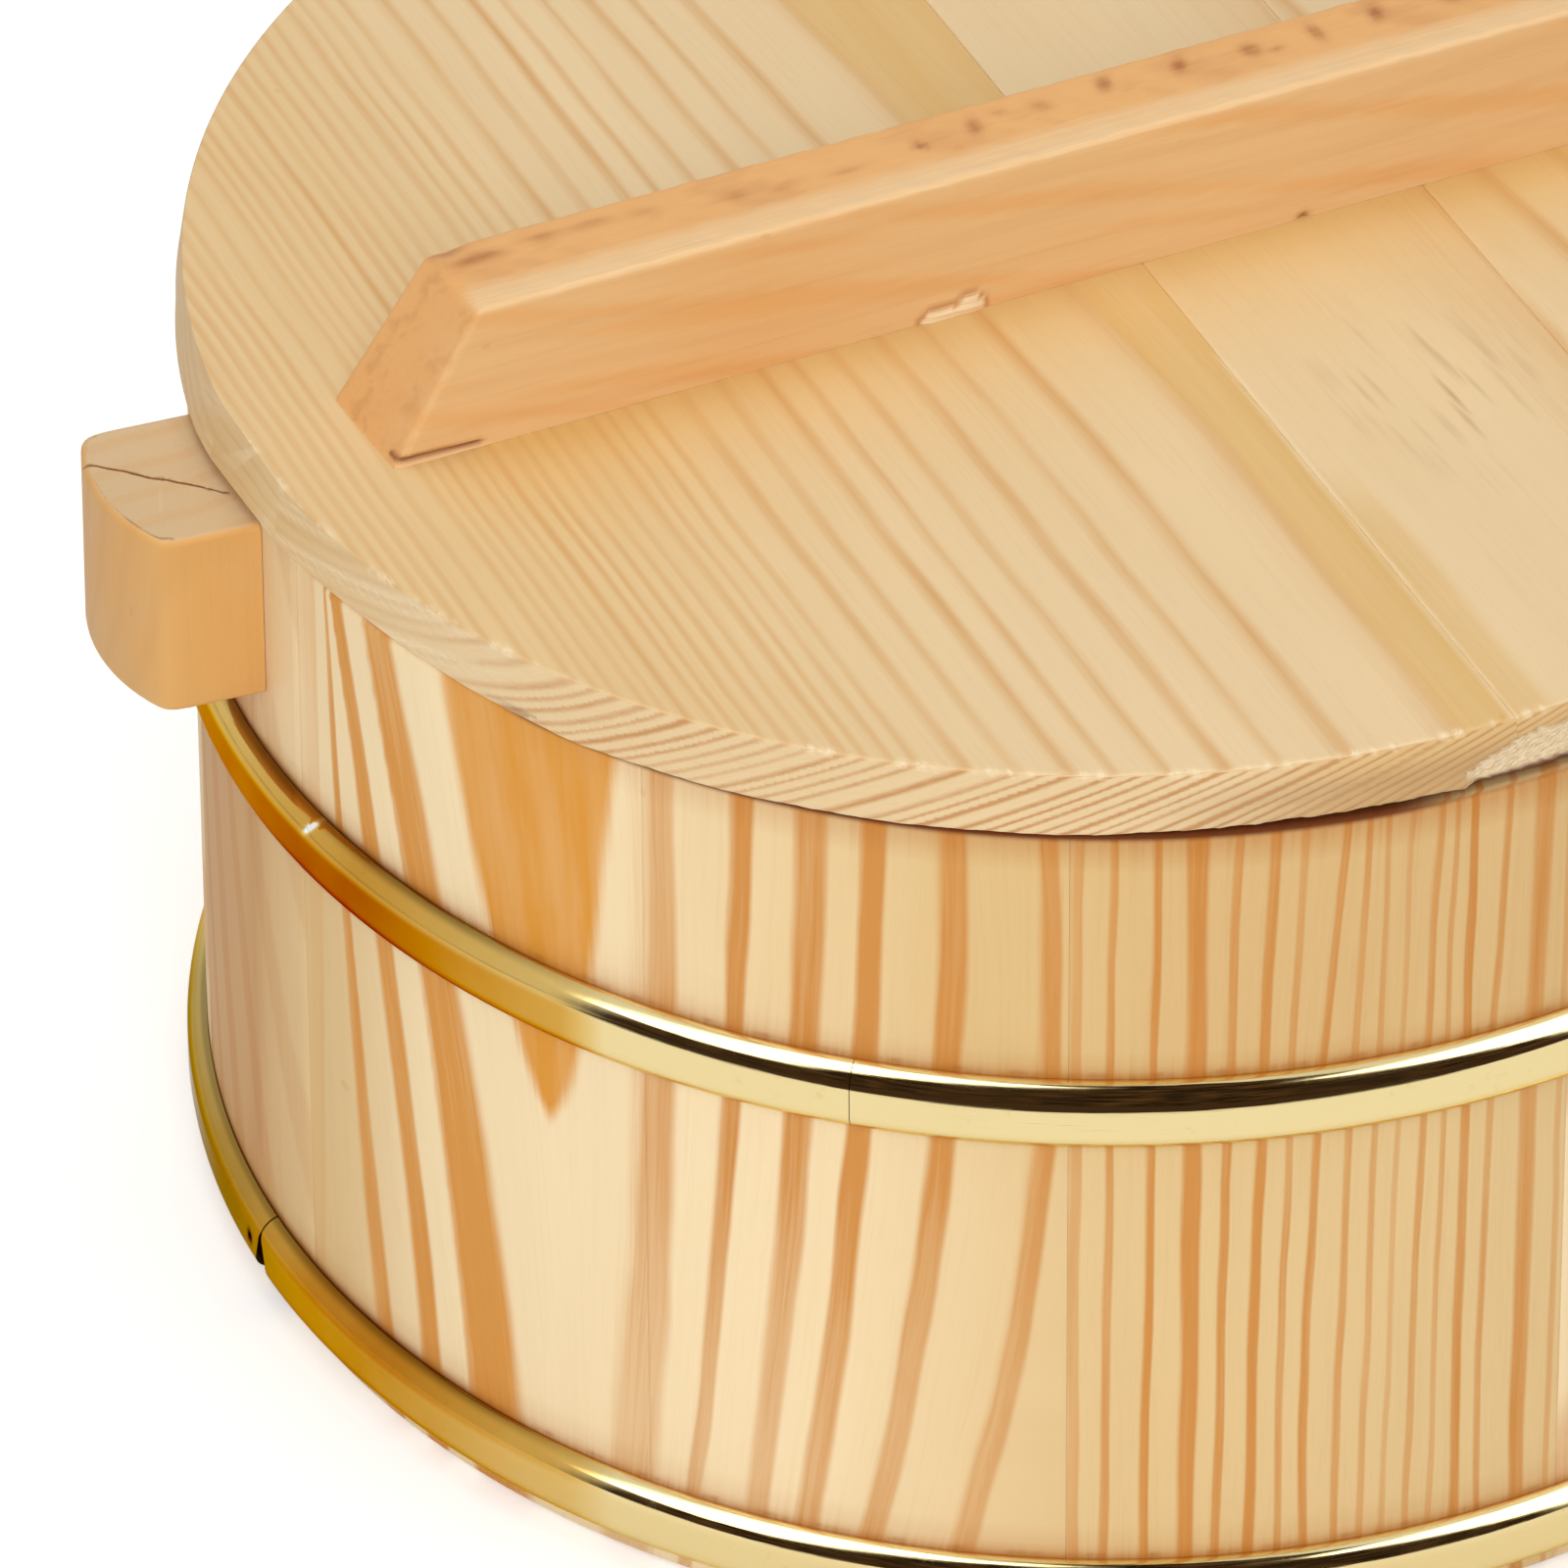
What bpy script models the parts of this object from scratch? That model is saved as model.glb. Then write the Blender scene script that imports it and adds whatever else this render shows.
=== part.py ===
"""Wooden rice steamer bucket: coopered wall, brass hoops, loose grate and lid.

Metres, +Z up. The origin is on the ground at the centre of the foot, and the
two ears lie along X. Names that end in _z are heights above the ground.
"""
import math

import bmesh
import bpy
from mathutils import Matrix, Vector

# Fits
GAP = 0.0003                    # between pieces that touch
FACET = math.radians(3.75)      # largest facet on the round wall

# Coopered wall
BODY_HEIGHT = 0.140
RIM_OUTER_RADIUS = 0.1295
RIM_WALL = 0.011
FOOT_FLARE = 0.002              # how far the foot stands out past the rim
RIM_ROUND = 0.0012
FOOT_CHAMFER = 0.0015
EAR_STAVE_WIDTH = 0.050
FRONT_STAVE_SHARES = (30, 26.5, 31, 24, 22, 24.5)
BACK_STAVE_SHARES = (25, 28, 24, 30, 22, 29)

# Bamboo pins between the staves
PIN_RADIUS = 0.0016
PIN_LENGTH = 0.018

# Ears and their dowels
EAR_WIDTH = 0.029
EAR_SHORT_REACH = 0.0139        # past the wall, at the corner of its shorter side
EAR_LONG_REACH = 0.0171         # past the wall, at its other corner
EAR_END_BULGE = 0.0036          # of the rounded end, past the line between its corners
EAR_HEIGHT = 0.029
EAR_BELOW_RIM = 0.0015
EAR_ROUND = 0.0008
DOWEL_RADIUS = 0.003
DOWEL_SPACING = 0.014
DOWEL_BITE = 0.010              # length inside the ear

# Hoops
HOOP_HEIGHT = 0.011
HOOP_DEPTH = 0.0028
HOOP_EDGE = 0.0005
HOOP_SEAM = 0.0003
UPPER_HOOP_BELOW_EAR = 0.0101
LOWER_HOOP_ABOVE_GROUND = 0.004
UPPER_SEAM_ANGLE = math.radians(234.7)
LOWER_SEAM_ANGLE = math.radians(185)

# Bars that carry the grate, let into the wall
BAR_ABOVE_GROUND = 0.018
BAR_HEIGHT = 0.014
BAR_WIDTH = 0.012
BAR_SPACING = 0.110
TENON_DEPTH = 0.005

# Loose grate
SLAT_COUNT = 7
SLAT_THICKNESS = 0.008
SLOT_WIDTH = 0.0035
GRATE_PLAY = 0.0015             # round the grate, inside the wall
GRATE_CLEAT_HEIGHT = 0.010
GRATE_CLEAT_WIDTH = 0.016
GRATE_CLEAT_PLAY = 0.002        # between a cleat and its bar
SLAT_ROUND = 0.0008

# Lid
LID_TURN = math.radians(4.8)    # of the lid on the bucket, as it lies
LID_PLACE = (-0.0017, 0.0006)   # of the lid's centre, as it lies
LID_OVERHANG = 0.0007
LID_THICKNESS = 0.0088
LID_RIM_SLANT = 0.0025          # how far the rim leans in from underside to top
LID_ROUND = 0.0006
MIDDLE_PLANK_START = 0.0019     # right of the lid's centre
MIDDLE_PLANK_WIDTH = 0.044
LID_CLEAT_SPACING = 0.124
LID_CLEAT_WIDTH = 0.018
LID_CLEAT_HEIGHT = 0.008
LID_CLEAT_PLAY = 0.0028         # between a cleat's end and the wall, with the lid centred

# Batten handle on the lid and its screws
BATTEN_TURN = math.radians(0.8) # against the planks' ends
BATTEN_FORWARD = 0.0028         # of the lid's centre
BATTEN_LENGTH = 0.2254
BATTEN_END_RUN = 0.0139         # how far each end leans in
BATTEN_HEIGHT = 0.0213
BATTEN_FOOT_WIDTH = 0.0194
BATTEN_TOP_WIDTH = 0.016
BATTEN_ROUND = 0.0007
SCREW_RADIUS = 0.0018
SCREW_HEAD_RADIUS = 0.0036
SCREW_HEAD_HEIGHT = 0.0022
SCREW_BITE = 0.012              # length inside the batten
SCREW_SINK = 0.0004             # of the head, below the lid's underside

# Worked out from the above
INNER_RADIUS = RIM_OUTER_RADIUS - RIM_WALL
FOOT_OUTER_RADIUS = RIM_OUTER_RADIUS + FOOT_FLARE
LID_RADIUS = RIM_OUTER_RADIUS + LID_OVERHANG
LID_UNDER_Z = BODY_HEIGHT + GAP
BATTEN_UNDER_Z = LID_UNDER_Z + LID_THICKNESS + GAP
EAR_TOP_Z = BODY_HEIGHT - EAR_BELOW_RIM
EAR_MIDDLE_Z = EAR_TOP_Z - EAR_HEIGHT / 2
UPPER_HOOP_TOP_Z = EAR_TOP_Z - EAR_HEIGHT - UPPER_HOOP_BELOW_EAR
LOWER_HOOP_TOP_Z = LOWER_HOOP_ABOVE_GROUND + HOOP_HEIGHT
BAR_TOP_Z = BAR_ABOVE_GROUND + BAR_HEIGHT
SLAT_UNDER_Z = BAR_TOP_Z + GAP
GRATE_RADIUS = INNER_RADIUS - GRATE_PLAY
LID_CLEAT_RADIUS = INNER_RADIUS - LID_CLEAT_PLAY
REACH = 2 * RIM_OUTER_RADIUS    # long enough for any cutter to pass right through

WOODS = {
    "stave_wood": (0.87, 0.66, 0.40),
    "lid_wood": (0.83, 0.66, 0.43),
    "batten_wood": (0.76, 0.50, 0.26),
    "ear_wood": (0.72, 0.47, 0.23),
    "grate_wood": (0.86, 0.70, 0.47),
    "bamboo": (0.78, 0.68, 0.40),
}
WOOD_ROUGHNESS = 0.55
METALS = {
    "brass": ((0.80, 0.60, 0.25), 0.16),
    "steel": ((0.62, 0.62, 0.63), 0.30),
}


def clear_scene():
    for item in list(bpy.data.objects):
        bpy.data.objects.remove(item, do_unlink=True)


def new_collection(name):
    collection = bpy.data.collections.new(name)
    bpy.context.scene.collection.children.link(collection)
    return collection


def new_material(name, colour, roughness, metallic):
    material = bpy.data.materials.new(name)
    material.use_nodes = True
    shader = material.node_tree.nodes["Principled BSDF"]
    shader.inputs["Base Color"].default_value = (*colour, 1.0)
    shader.inputs["Roughness"].default_value = roughness
    shader.inputs["Metallic"].default_value = metallic
    return material


def make_materials():
    made = {name: new_material(name, colour, WOOD_ROUGHNESS, 0.0) for name, colour in WOODS.items()}
    for name, (colour, roughness) in METALS.items():
        made[name] = new_material(name, colour, roughness, 1.0)
    return made


clear_scene()
PARTS = new_collection("rice_steamer_bucket")
CUTTERS = new_collection("cutters")
MATERIALS = make_materials()


def add_object(name, data, material=None, parent=None):
    """Links a piece of the bucket, or a cutter where no material is given."""
    item = bpy.data.objects.new(name, data)
    if material:
        PARTS.objects.link(item)
        data.materials.append(MATERIALS[material])
    else:
        CUTTERS.objects.link(item)
        item.hide_render = True
        item.display_type = 'WIRE'
    item.parent = parent
    return item


def add_empty(name, place, turn=0.0, parent=None):
    empty = bpy.data.objects.new(name, None)
    PARTS.objects.link(empty)
    empty.location = place
    empty.rotation_euler.z = turn
    empty.parent = parent
    return empty


def mesh_from(name, build):
    """Makes a mesh with the faces that build() puts into a bmesh."""
    mesh = bpy.data.meshes.new(name)
    bm = bmesh.new()
    build(bm)
    bmesh.ops.recalc_face_normals(bm, faces=bm.faces)
    bm.to_mesh(mesh)
    bm.free()
    return mesh


def box_mesh(name, low, high):
    low = Vector(low)
    high = Vector(high)
    fit = Matrix.Translation((low + high) / 2) @ Matrix.Diagonal((*(high - low), 1.0))
    return mesh_from(name, lambda bm: bmesh.ops.create_cube(bm, size=1.0, matrix=fit))


def rod_mesh(name, radius, length, sides, end_radius=None):
    """A cylinder or a cone on Z with its foot at the origin; end_radius is at its top."""
    fit = Matrix.Translation((0, 0, length / 2))
    top = radius if end_radius is None else end_radius
    return mesh_from(name, lambda bm: bmesh.ops.create_cone(
        bm, cap_ends=True, segments=sides, radius1=radius, radius2=top, depth=length, matrix=fit))


def sector_mesh(name, profile, start, sweep):
    """Turns a closed outline of (radius, height) points about Z, with both ends capped."""
    steps = max(2, round(sweep / FACET))

    def build(bm):
        face = bm.faces.new([
            bm.verts.new((radius * math.cos(start), radius * math.sin(start), height))
            for radius, height in profile])
        geometry = [face, *face.edges, *face.verts]
        bmesh.ops.spin(bm, geom=geometry, axis=(0, 0, 1), angle=sweep, steps=steps)

    return mesh_from(name, build)


def bevel(item, width, segments=2):
    modifier = item.modifiers.new("Rounded edges", 'BEVEL')
    modifier.width = width
    modifier.segments = segments
    modifier.limit_method = 'ANGLE'
    modifier.angle_limit = math.radians(40)
    return modifier


def boolean(item, cutter, operation='DIFFERENCE'):
    modifier = item.modifiers.new(cutter.name, 'BOOLEAN')
    modifier.operation = operation
    modifier.object = cutter


def shade_round(item):
    item.data.shade_smooth()
    item.data.set_sharp_from_angle(angle=math.radians(30))


def wall_radius(height):
    """Outer radius of the wall, which leans in from the foot to the rim."""
    return FOOT_OUTER_RADIUS - FOOT_FLARE * height / BODY_HEIGHT


def round_cutter(name, radius, low, high, parent=None, top_radius=None):
    """A drum or a cone on Z between two heights, with the facets of the wall."""
    sides = round(2 * math.pi / FACET)
    cutter = add_object(name, rod_mesh(name, radius, high - low, sides, top_radius), parent=parent)
    cutter.location.z = low
    return cutter


def stave_profile():
    """Section of the wall: rounded rim, straight inside, outside leaning in, chamfered foot."""
    def rim_corner(radius, side):
        turns = [math.radians(45 * step) for step in range(3)]
        points = [(radius - side * RIM_ROUND * (1 - math.cos(turn)),
                   BODY_HEIGHT - RIM_ROUND * (1 - math.sin(turn))) for turn in turns]
        return points if side > 0 else points[::-1]

    return [
        (INNER_RADIUS + FOOT_CHAMFER, 0.0),
        (FOOT_OUTER_RADIUS - FOOT_CHAMFER, 0.0),
        (wall_radius(FOOT_CHAMFER), FOOT_CHAMFER),
        *rim_corner(RIM_OUTER_RADIUS, 1),
        *rim_corner(INNER_RADIUS, -1),
        (INNER_RADIUS, FOOT_CHAMFER),
    ]


def stave_joint_angles():
    """Angles of the joints between staves, from the one just before the right ear's stave."""
    ear_angle = EAR_STAVE_WIDTH / RIM_OUTER_RADIUS
    joints = [-ear_angle / 2]
    for shares in (BACK_STAVE_SHARES, FRONT_STAVE_SHARES):
        joints.append(joints[-1] + ear_angle)
        for share in shares:
            joints.append(joints[-1] + (math.pi - ear_angle) * share / sum(shares))
    return joints


def make_staves():
    """Makes the staves and the bamboo pin in each joint, and gives back the staves."""
    joints = stave_joint_angles()
    pin_z = BODY_HEIGHT / 2
    pin_circle = (INNER_RADIUS + wall_radius(pin_z)) / 2
    joint_angle = GAP / INNER_RADIUS
    staves = []
    for number, (start, end) in enumerate(zip(joints, joints[1:]), 1):
        name = f"stave_{number:02d}"
        mesh = sector_mesh(name, stave_profile(), start + joint_angle / 2, end - start - joint_angle)
        stave = add_object(name, mesh, "stave_wood")
        shade_round(stave)
        stave["start"] = start
        stave["end"] = end
        staves.append(stave)

    for number, angle in enumerate(joints[1:], 1):
        name = f"stave_pin_{number:02d}"
        pin = add_object(name, rod_mesh(name, PIN_RADIUS, PIN_LENGTH, 10), "bamboo")
        hole = add_object(f"{name}_hole", rod_mesh(name, PIN_RADIUS + GAP, PIN_LENGTH + 2 * GAP, 10))
        middle = Vector((pin_circle * math.cos(angle), pin_circle * math.sin(angle), pin_z))
        along = Vector((-math.sin(angle), math.cos(angle), 0))
        for item, length in ((pin, PIN_LENGTH), (hole, PIN_LENGTH + 2 * GAP)):
            item.location = middle - along * length / 2
            item.rotation_euler = along.to_track_quat('Z', 'Y').to_euler()
        shade_round(pin)
        boolean(staves[number - 1], hole)
        boolean(staves[number % len(staves)], hole)
    return staves


def staves_across(staves, low, high):
    """The staves that lie between two angles, which are given from 0 to a full turn."""
    return [stave for stave in staves
            if any(stave["start"] - turn < high and stave["end"] - turn > low
                   for turn in (0, 2 * math.pi, -2 * math.pi))]


def hoop_profile(top):
    """Half-round band against the leaning wall, with a narrow flat at both edges."""
    middle = top - HOOP_HEIGHT / 2
    turns = [math.radians(-90 + 30 * step) for step in range(7)]
    outer = []
    for turn in turns:
        height = middle + HOOP_HEIGHT / 2 * math.sin(turn)
        rise = HOOP_EDGE + (HOOP_DEPTH - HOOP_EDGE) * math.cos(turn)
        outer.append((wall_radius(height) + GAP + rise, height))
    bottom = top - HOOP_HEIGHT
    return [*outer, (wall_radius(top) + GAP, top), (wall_radius(bottom) + GAP, bottom)]


def make_hoop(name, top, seam_angle):
    """A drawn brass band bent round, whose ends meet in a fine butt seam."""
    seam = HOOP_SEAM / wall_radius(top)
    mesh = sector_mesh(name, hoop_profile(top), seam_angle + seam / 2, 2 * math.pi - seam)
    shade_round(add_object(name, mesh, "brass"))


def ear_outline():
    """Plan of an ear on +X: two straight sides, one shorter, and a rounded end between them."""
    wall = wall_radius(EAR_TOP_Z)
    half = EAR_WIDTH / 2
    inside = INNER_RADIUS + RIM_WALL / 2
    first = Vector((wall + EAR_LONG_REACH, -half))
    last = Vector((wall + EAR_SHORT_REACH, half))
    middle = (first + last) / 2
    half_chord = (last - first).length / 2
    outward = Vector((last.y - first.y, first.x - last.x)).normalized()
    arc_radius = (half_chord ** 2 + EAR_END_BULGE ** 2) / (2 * EAR_END_BULGE)
    centre = middle + outward * (EAR_END_BULGE - arc_radius)
    spread = math.asin(half_chord / arc_radius)
    facing = math.atan2(outward.y, outward.x)
    steps = 8
    turns = [facing + spread * (2 * step / steps - 1) for step in range(steps + 1)]
    end = [(centre.x + arc_radius * math.cos(turn), centre.y + arc_radius * math.sin(turn)) for turn in turns]
    return [(inside, -half), *end, (inside, half)]


def outline_mesh(name, points, thickness):
    """A flat outline of (x, y) points given a thickness along Z, its foot at the origin."""
    curve = bpy.data.curves.new(name, 'CURVE')
    curve.dimensions = '2D'
    curve.fill_mode = 'BOTH'
    curve.extrude = thickness / 2
    spline = curve.splines.new('POLY')
    spline.points.add(len(points) - 1)
    for point, (x, y) in zip(spline.points, points):
        point.co = (x, y, 0, 1)
    spline.use_cyclic_u = True
    guide = add_object(f"{name}_outline", curve)
    bpy.context.view_layer.update()
    evaluated = guide.evaluated_get(bpy.context.evaluated_depsgraph_get())
    mesh = bpy.data.meshes.new_from_object(evaluated)
    bpy.data.objects.remove(guide, do_unlink=True)
    bm = bmesh.new()
    bm.from_mesh(mesh)
    bmesh.ops.remove_doubles(bm, verts=bm.verts, dist=1e-6)
    bmesh.ops.translate(bm, verts=bm.verts, vec=(0, 0, thickness / 2))
    bmesh.ops.recalc_face_normals(bm, faces=bm.faces)
    bm.to_mesh(mesh)
    bm.free()
    return mesh


def make_ear(side, angle, staves):
    """An ear, scribed to the wall, and two dowels through its stave into it."""
    name = f"ear_{side}"
    ear = add_object(name, outline_mesh(name, ear_outline(), EAR_HEIGHT), "ear_wood")
    ear.location.z = EAR_TOP_Z - EAR_HEIGHT
    ear.rotation_euler.z = angle
    bevel(ear, EAR_ROUND)

    sides = round(2 * math.pi / FACET)
    scribe_margin = GAP / math.cos(FACET / 2) + RIM_OUTER_RADIUS * (1 / math.cos(FACET / 2) - 1)
    scribe = rod_mesh(f"{name}_scribe", FOOT_OUTER_RADIUS + scribe_margin, BODY_HEIGHT, sides,
                      RIM_OUTER_RADIUS + scribe_margin)
    boolean(ear, add_object(f"{name}_scribe", scribe))

    stave = staves_across(staves, angle, angle)[0]
    for place, direction in (("upper", 1), ("lower", -1)):
        dowel_name = f"{name}_dowel_{place}"
        height = EAR_MIDDLE_Z + direction * DOWEL_SPACING / 2
        length = wall_radius(height) - INNER_RADIUS - GAP + DOWEL_BITE
        hole_length = length + RIM_WALL + GAP
        dowel = add_object(dowel_name, rod_mesh(dowel_name, DOWEL_RADIUS, length, 12), "ear_wood")
        hole = add_object(f"{dowel_name}_hole",
                          rod_mesh(dowel_name, DOWEL_RADIUS + GAP, hole_length, 12))
        for item, start in ((dowel, INNER_RADIUS + GAP), (hole, INNER_RADIUS + GAP - RIM_WALL)):
            item.location = (start * math.cos(angle), start * math.sin(angle), height)
            item.rotation_euler = (0, math.pi / 2, angle)
        shade_round(dowel)
        boolean(stave, hole)
        boolean(ear, hole)


def make_bars(staves):
    """Two bars across the bucket, with their ends in mortises in the staves."""
    tenon_end = round_cutter("bar_ends", INNER_RADIUS + TENON_DEPTH, 0, BODY_HEIGHT)
    mortise_end = round_cutter("mortise_ends", INNER_RADIUS + TENON_DEPTH + GAP, 0, BODY_HEIGHT)
    for place, side in (("front", -1), ("back", 1)):
        middle = side * BAR_SPACING / 2
        name = f"grate_bar_{place}"
        half = BAR_WIDTH / 2
        bar = add_object(name, box_mesh(
            name, (-REACH, middle - half, BAR_ABOVE_GROUND), (REACH, middle + half, BAR_TOP_Z)),
            "grate_wood")
        boolean(bar, tenon_end, 'INTERSECT')
        mortise = add_object(f"{name}_mortise", box_mesh(
            name, (-REACH, middle - half - GAP, BAR_ABOVE_GROUND - GAP),
            (REACH, middle + half + GAP, BAR_TOP_Z + GAP)))
        boolean(mortise, mortise_end, 'INTERSECT')
        for direction in (-1, 1):
            ends = [math.atan2(middle + edge * (half + GAP), direction * math.sqrt(
                INNER_RADIUS ** 2 - middle ** 2)) % (2 * math.pi) for edge in (-1, 1)]
            for stave in staves_across(staves, min(ends), max(ends)):
                boolean(stave, mortise)


def make_grate():
    """Slats across the bars and two cleats that hold them together and keep them in place."""
    origin = add_empty("grate_origin", (0, 0, SLAT_UNDER_Z))
    rim = round_cutter("grate_rim", GRATE_RADIUS, -BODY_HEIGHT, BODY_HEIGHT, origin)
    pitch = (2 * GRATE_RADIUS + SLOT_WIDTH) / SLAT_COUNT
    for number in range(SLAT_COUNT):
        name = f"grate_slat_{number + 1}"
        start = -GRATE_RADIUS + number * pitch
        slat = add_object(name, box_mesh(
            name, (start, -REACH, 0), (start + pitch - SLOT_WIDTH, REACH, SLAT_THICKNESS)),
            "grate_wood", origin)
        bevel(slat, SLAT_ROUND, 1)
        boolean(slat, rim, 'INTERSECT')

    outer = BAR_SPACING / 2 - BAR_WIDTH / 2 - GRATE_CLEAT_PLAY
    for place, side in (("front", -1), ("back", 1)):
        name = f"grate_cleat_{place}"
        edges = sorted((side * outer, side * (outer - GRATE_CLEAT_WIDTH)))
        cleat = add_object(name, box_mesh(
            name, (-REACH, edges[0], -GAP - GRATE_CLEAT_HEIGHT), (REACH, edges[1], -GAP)),
            "grate_wood", origin)
        boolean(cleat, rim, 'INTERSECT')


def plank_edges():
    """Where the lid's planks meet, along its X, from its left edge to its right."""
    return (-REACH, MIDDLE_PLANK_START, MIDDLE_PLANK_START + MIDDLE_PLANK_WIDTH, REACH)


def screw_profile():
    """Half section of a countersunk wood screw, head down, from its tip to its head."""
    length = LID_THICKNESS + GAP + SCREW_BITE
    return [
        (0, length), (SCREW_RADIUS * 0.4, length - SCREW_RADIUS), (SCREW_RADIUS, length - 3 * SCREW_RADIUS),
        (SCREW_RADIUS, SCREW_SINK + SCREW_HEAD_HEIGHT), (SCREW_HEAD_RADIUS, SCREW_SINK), (0, SCREW_SINK)]


def turned_mesh_object(name, profile, material, parent, steps=16):
    """A profile of (radius, height) points, from top to bottom, turned about Z."""
    mesh = bpy.data.meshes.new(name)
    mesh.from_pydata([(radius, 0, height) for radius, height in profile],
                     [(index, index + 1) for index in range(len(profile) - 1)], [])
    item = add_object(name, mesh, material, parent)
    screw = item.modifiers.new("Turned", 'SCREW')
    screw.steps = steps
    screw.render_steps = steps
    screw.use_merge_vertices = True
    screw.merge_threshold = 0.00001
    return item


def make_lid():
    """Three planks edge to edge, a batten handle across them and two cleats below."""
    origin = add_empty("lid_origin", (*LID_PLACE, LID_UNDER_Z), LID_TURN)
    blank = round_cutter("lid_blank", LID_RADIUS, 0, LID_THICKNESS, origin, LID_RADIUS - LID_RIM_SLANT)
    bevel(blank, LID_ROUND)
    edges = plank_edges()
    planks = []
    for place, left, right in zip(("left", "middle", "right"), edges, edges[1:]):
        name = f"lid_plank_{place}"
        plank = add_object(name, box_mesh(
            name, (left + GAP / 2, -REACH, -LID_THICKNESS), (right - GAP / 2, REACH, 2 * LID_THICKNESS)),
            "lid_wood", origin)
        boolean(plank, blank, 'INTERSECT')
        planks.append(plank)

    rim = round_cutter("lid_cleat_ends", LID_CLEAT_RADIUS, -BODY_HEIGHT, BODY_HEIGHT, origin)
    for place, side in (("front", -1), ("back", 1)):
        name = f"lid_cleat_{place}"
        middle = side * LID_CLEAT_SPACING / 2
        cleat = add_object(name, box_mesh(
            name, (-REACH, middle - LID_CLEAT_WIDTH / 2, -GAP - LID_CLEAT_HEIGHT),
            (REACH, middle + LID_CLEAT_WIDTH / 2, -GAP)), "lid_wood", origin)
        boolean(cleat, rim, 'INTERSECT')

    batten_line = add_empty("batten_line", (0, -BATTEN_FORWARD, 0), BATTEN_TURN, origin)
    batten = make_batten(batten_line)
    grip = BATTEN_LENGTH / 2 - BATTEN_END_RUN
    for number, (plank, left, right) in enumerate(zip(planks, edges, edges[1:]), 1):
        place = (max(left, -grip) + min(right, grip)) / 2
        make_screw(number, place, plank, batten, batten_line)


def make_batten(line):
    """The bar that is the lid's handle: narrower at its top, with both ends leaning in."""
    def build(bm):
        bmesh.ops.create_cube(bm, size=1.0)
        for vert in bm.verts:
            is_top = vert.co.z > 0
            length = BATTEN_LENGTH - (2 * BATTEN_END_RUN if is_top else 0)
            width = BATTEN_TOP_WIDTH if is_top else BATTEN_FOOT_WIDTH
            vert.co = (vert.co.x * length, vert.co.y * width, BATTEN_HEIGHT if is_top else 0)

    batten = add_object("lid_batten", mesh_from("lid_batten", build), "batten_wood", line)
    batten.location.z = LID_THICKNESS + GAP
    bevel(batten, BATTEN_ROUND)
    return batten


def make_screw(number, place, plank, batten, line):
    """A countersunk screw up through a plank into the batten."""
    name = f"lid_screw_{number}"
    screw = turned_mesh_object(name, screw_profile(), "steel", line)
    screw.location.x = place
    shade_round(screw)
    hole_length = LID_THICKNESS + GAP + SCREW_BITE + GAP
    hole = add_object(f"{name}_hole", rod_mesh(name, SCREW_RADIUS + GAP, hole_length, 16),
                      parent=line)
    hole.location.x = place
    boolean(plank, hole)
    boolean(batten, hole)
    sink_depth = SCREW_SINK + SCREW_HEAD_HEIGHT + 2 * GAP
    slope = (SCREW_HEAD_RADIUS - SCREW_RADIUS) / SCREW_HEAD_HEIGHT
    mouth = SCREW_HEAD_RADIUS + slope * (SCREW_SINK + 2 * GAP) + GAP
    sink = add_object(f"{name}_sink", rod_mesh(name, mouth, sink_depth, 16, SCREW_RADIUS + GAP),
                      parent=line)
    sink.location.x = place
    boolean(plank, sink)


def make_bucket():
    staves = make_staves()
    make_hoop("hoop_upper", UPPER_HOOP_TOP_Z, UPPER_SEAM_ANGLE)
    make_hoop("hoop_lower", LOWER_HOOP_TOP_Z, LOWER_SEAM_ANGLE)
    make_ear("right", 0.0, staves)
    make_ear("left", math.pi, staves)
    make_bars(staves)
    make_grate()
    make_lid()


make_bucket()
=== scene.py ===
"""Looks of the wooden rice steamer bucket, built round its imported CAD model.

Metres, +Z up, in the frame of the CAD model: the ears lie along X and the foot
stands on the ground. Looks are laid out in millimetres, and in degrees round the
bucket from its right ear. A span of four values tells where something starts, is
full, starts to end and has ended.
"""
import math

import bmesh
import bpy
import numpy as np
from mathutils import Matrix, Vector


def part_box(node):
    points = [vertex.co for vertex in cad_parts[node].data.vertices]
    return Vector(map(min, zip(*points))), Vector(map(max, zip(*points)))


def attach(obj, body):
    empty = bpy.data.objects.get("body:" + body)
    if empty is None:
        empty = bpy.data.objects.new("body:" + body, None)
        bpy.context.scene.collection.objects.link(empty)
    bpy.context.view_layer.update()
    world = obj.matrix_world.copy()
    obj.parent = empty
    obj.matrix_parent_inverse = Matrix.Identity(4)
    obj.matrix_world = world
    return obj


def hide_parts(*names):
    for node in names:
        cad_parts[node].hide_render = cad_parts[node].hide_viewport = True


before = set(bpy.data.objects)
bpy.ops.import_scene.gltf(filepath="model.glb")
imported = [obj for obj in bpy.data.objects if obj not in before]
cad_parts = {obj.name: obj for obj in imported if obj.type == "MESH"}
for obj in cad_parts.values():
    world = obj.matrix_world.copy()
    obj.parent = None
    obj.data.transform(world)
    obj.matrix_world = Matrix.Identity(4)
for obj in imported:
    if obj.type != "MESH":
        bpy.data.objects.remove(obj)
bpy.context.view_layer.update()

MM = 0.001
DEGREE = math.radians(1)
HAIR = 0.000015                 # half of a closed joint between staves or planks
GAP = 0.0003                    # between pieces of the CAD model
PRESS = 0.0001                  # by which hoops and ears stand off the wall

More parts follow.
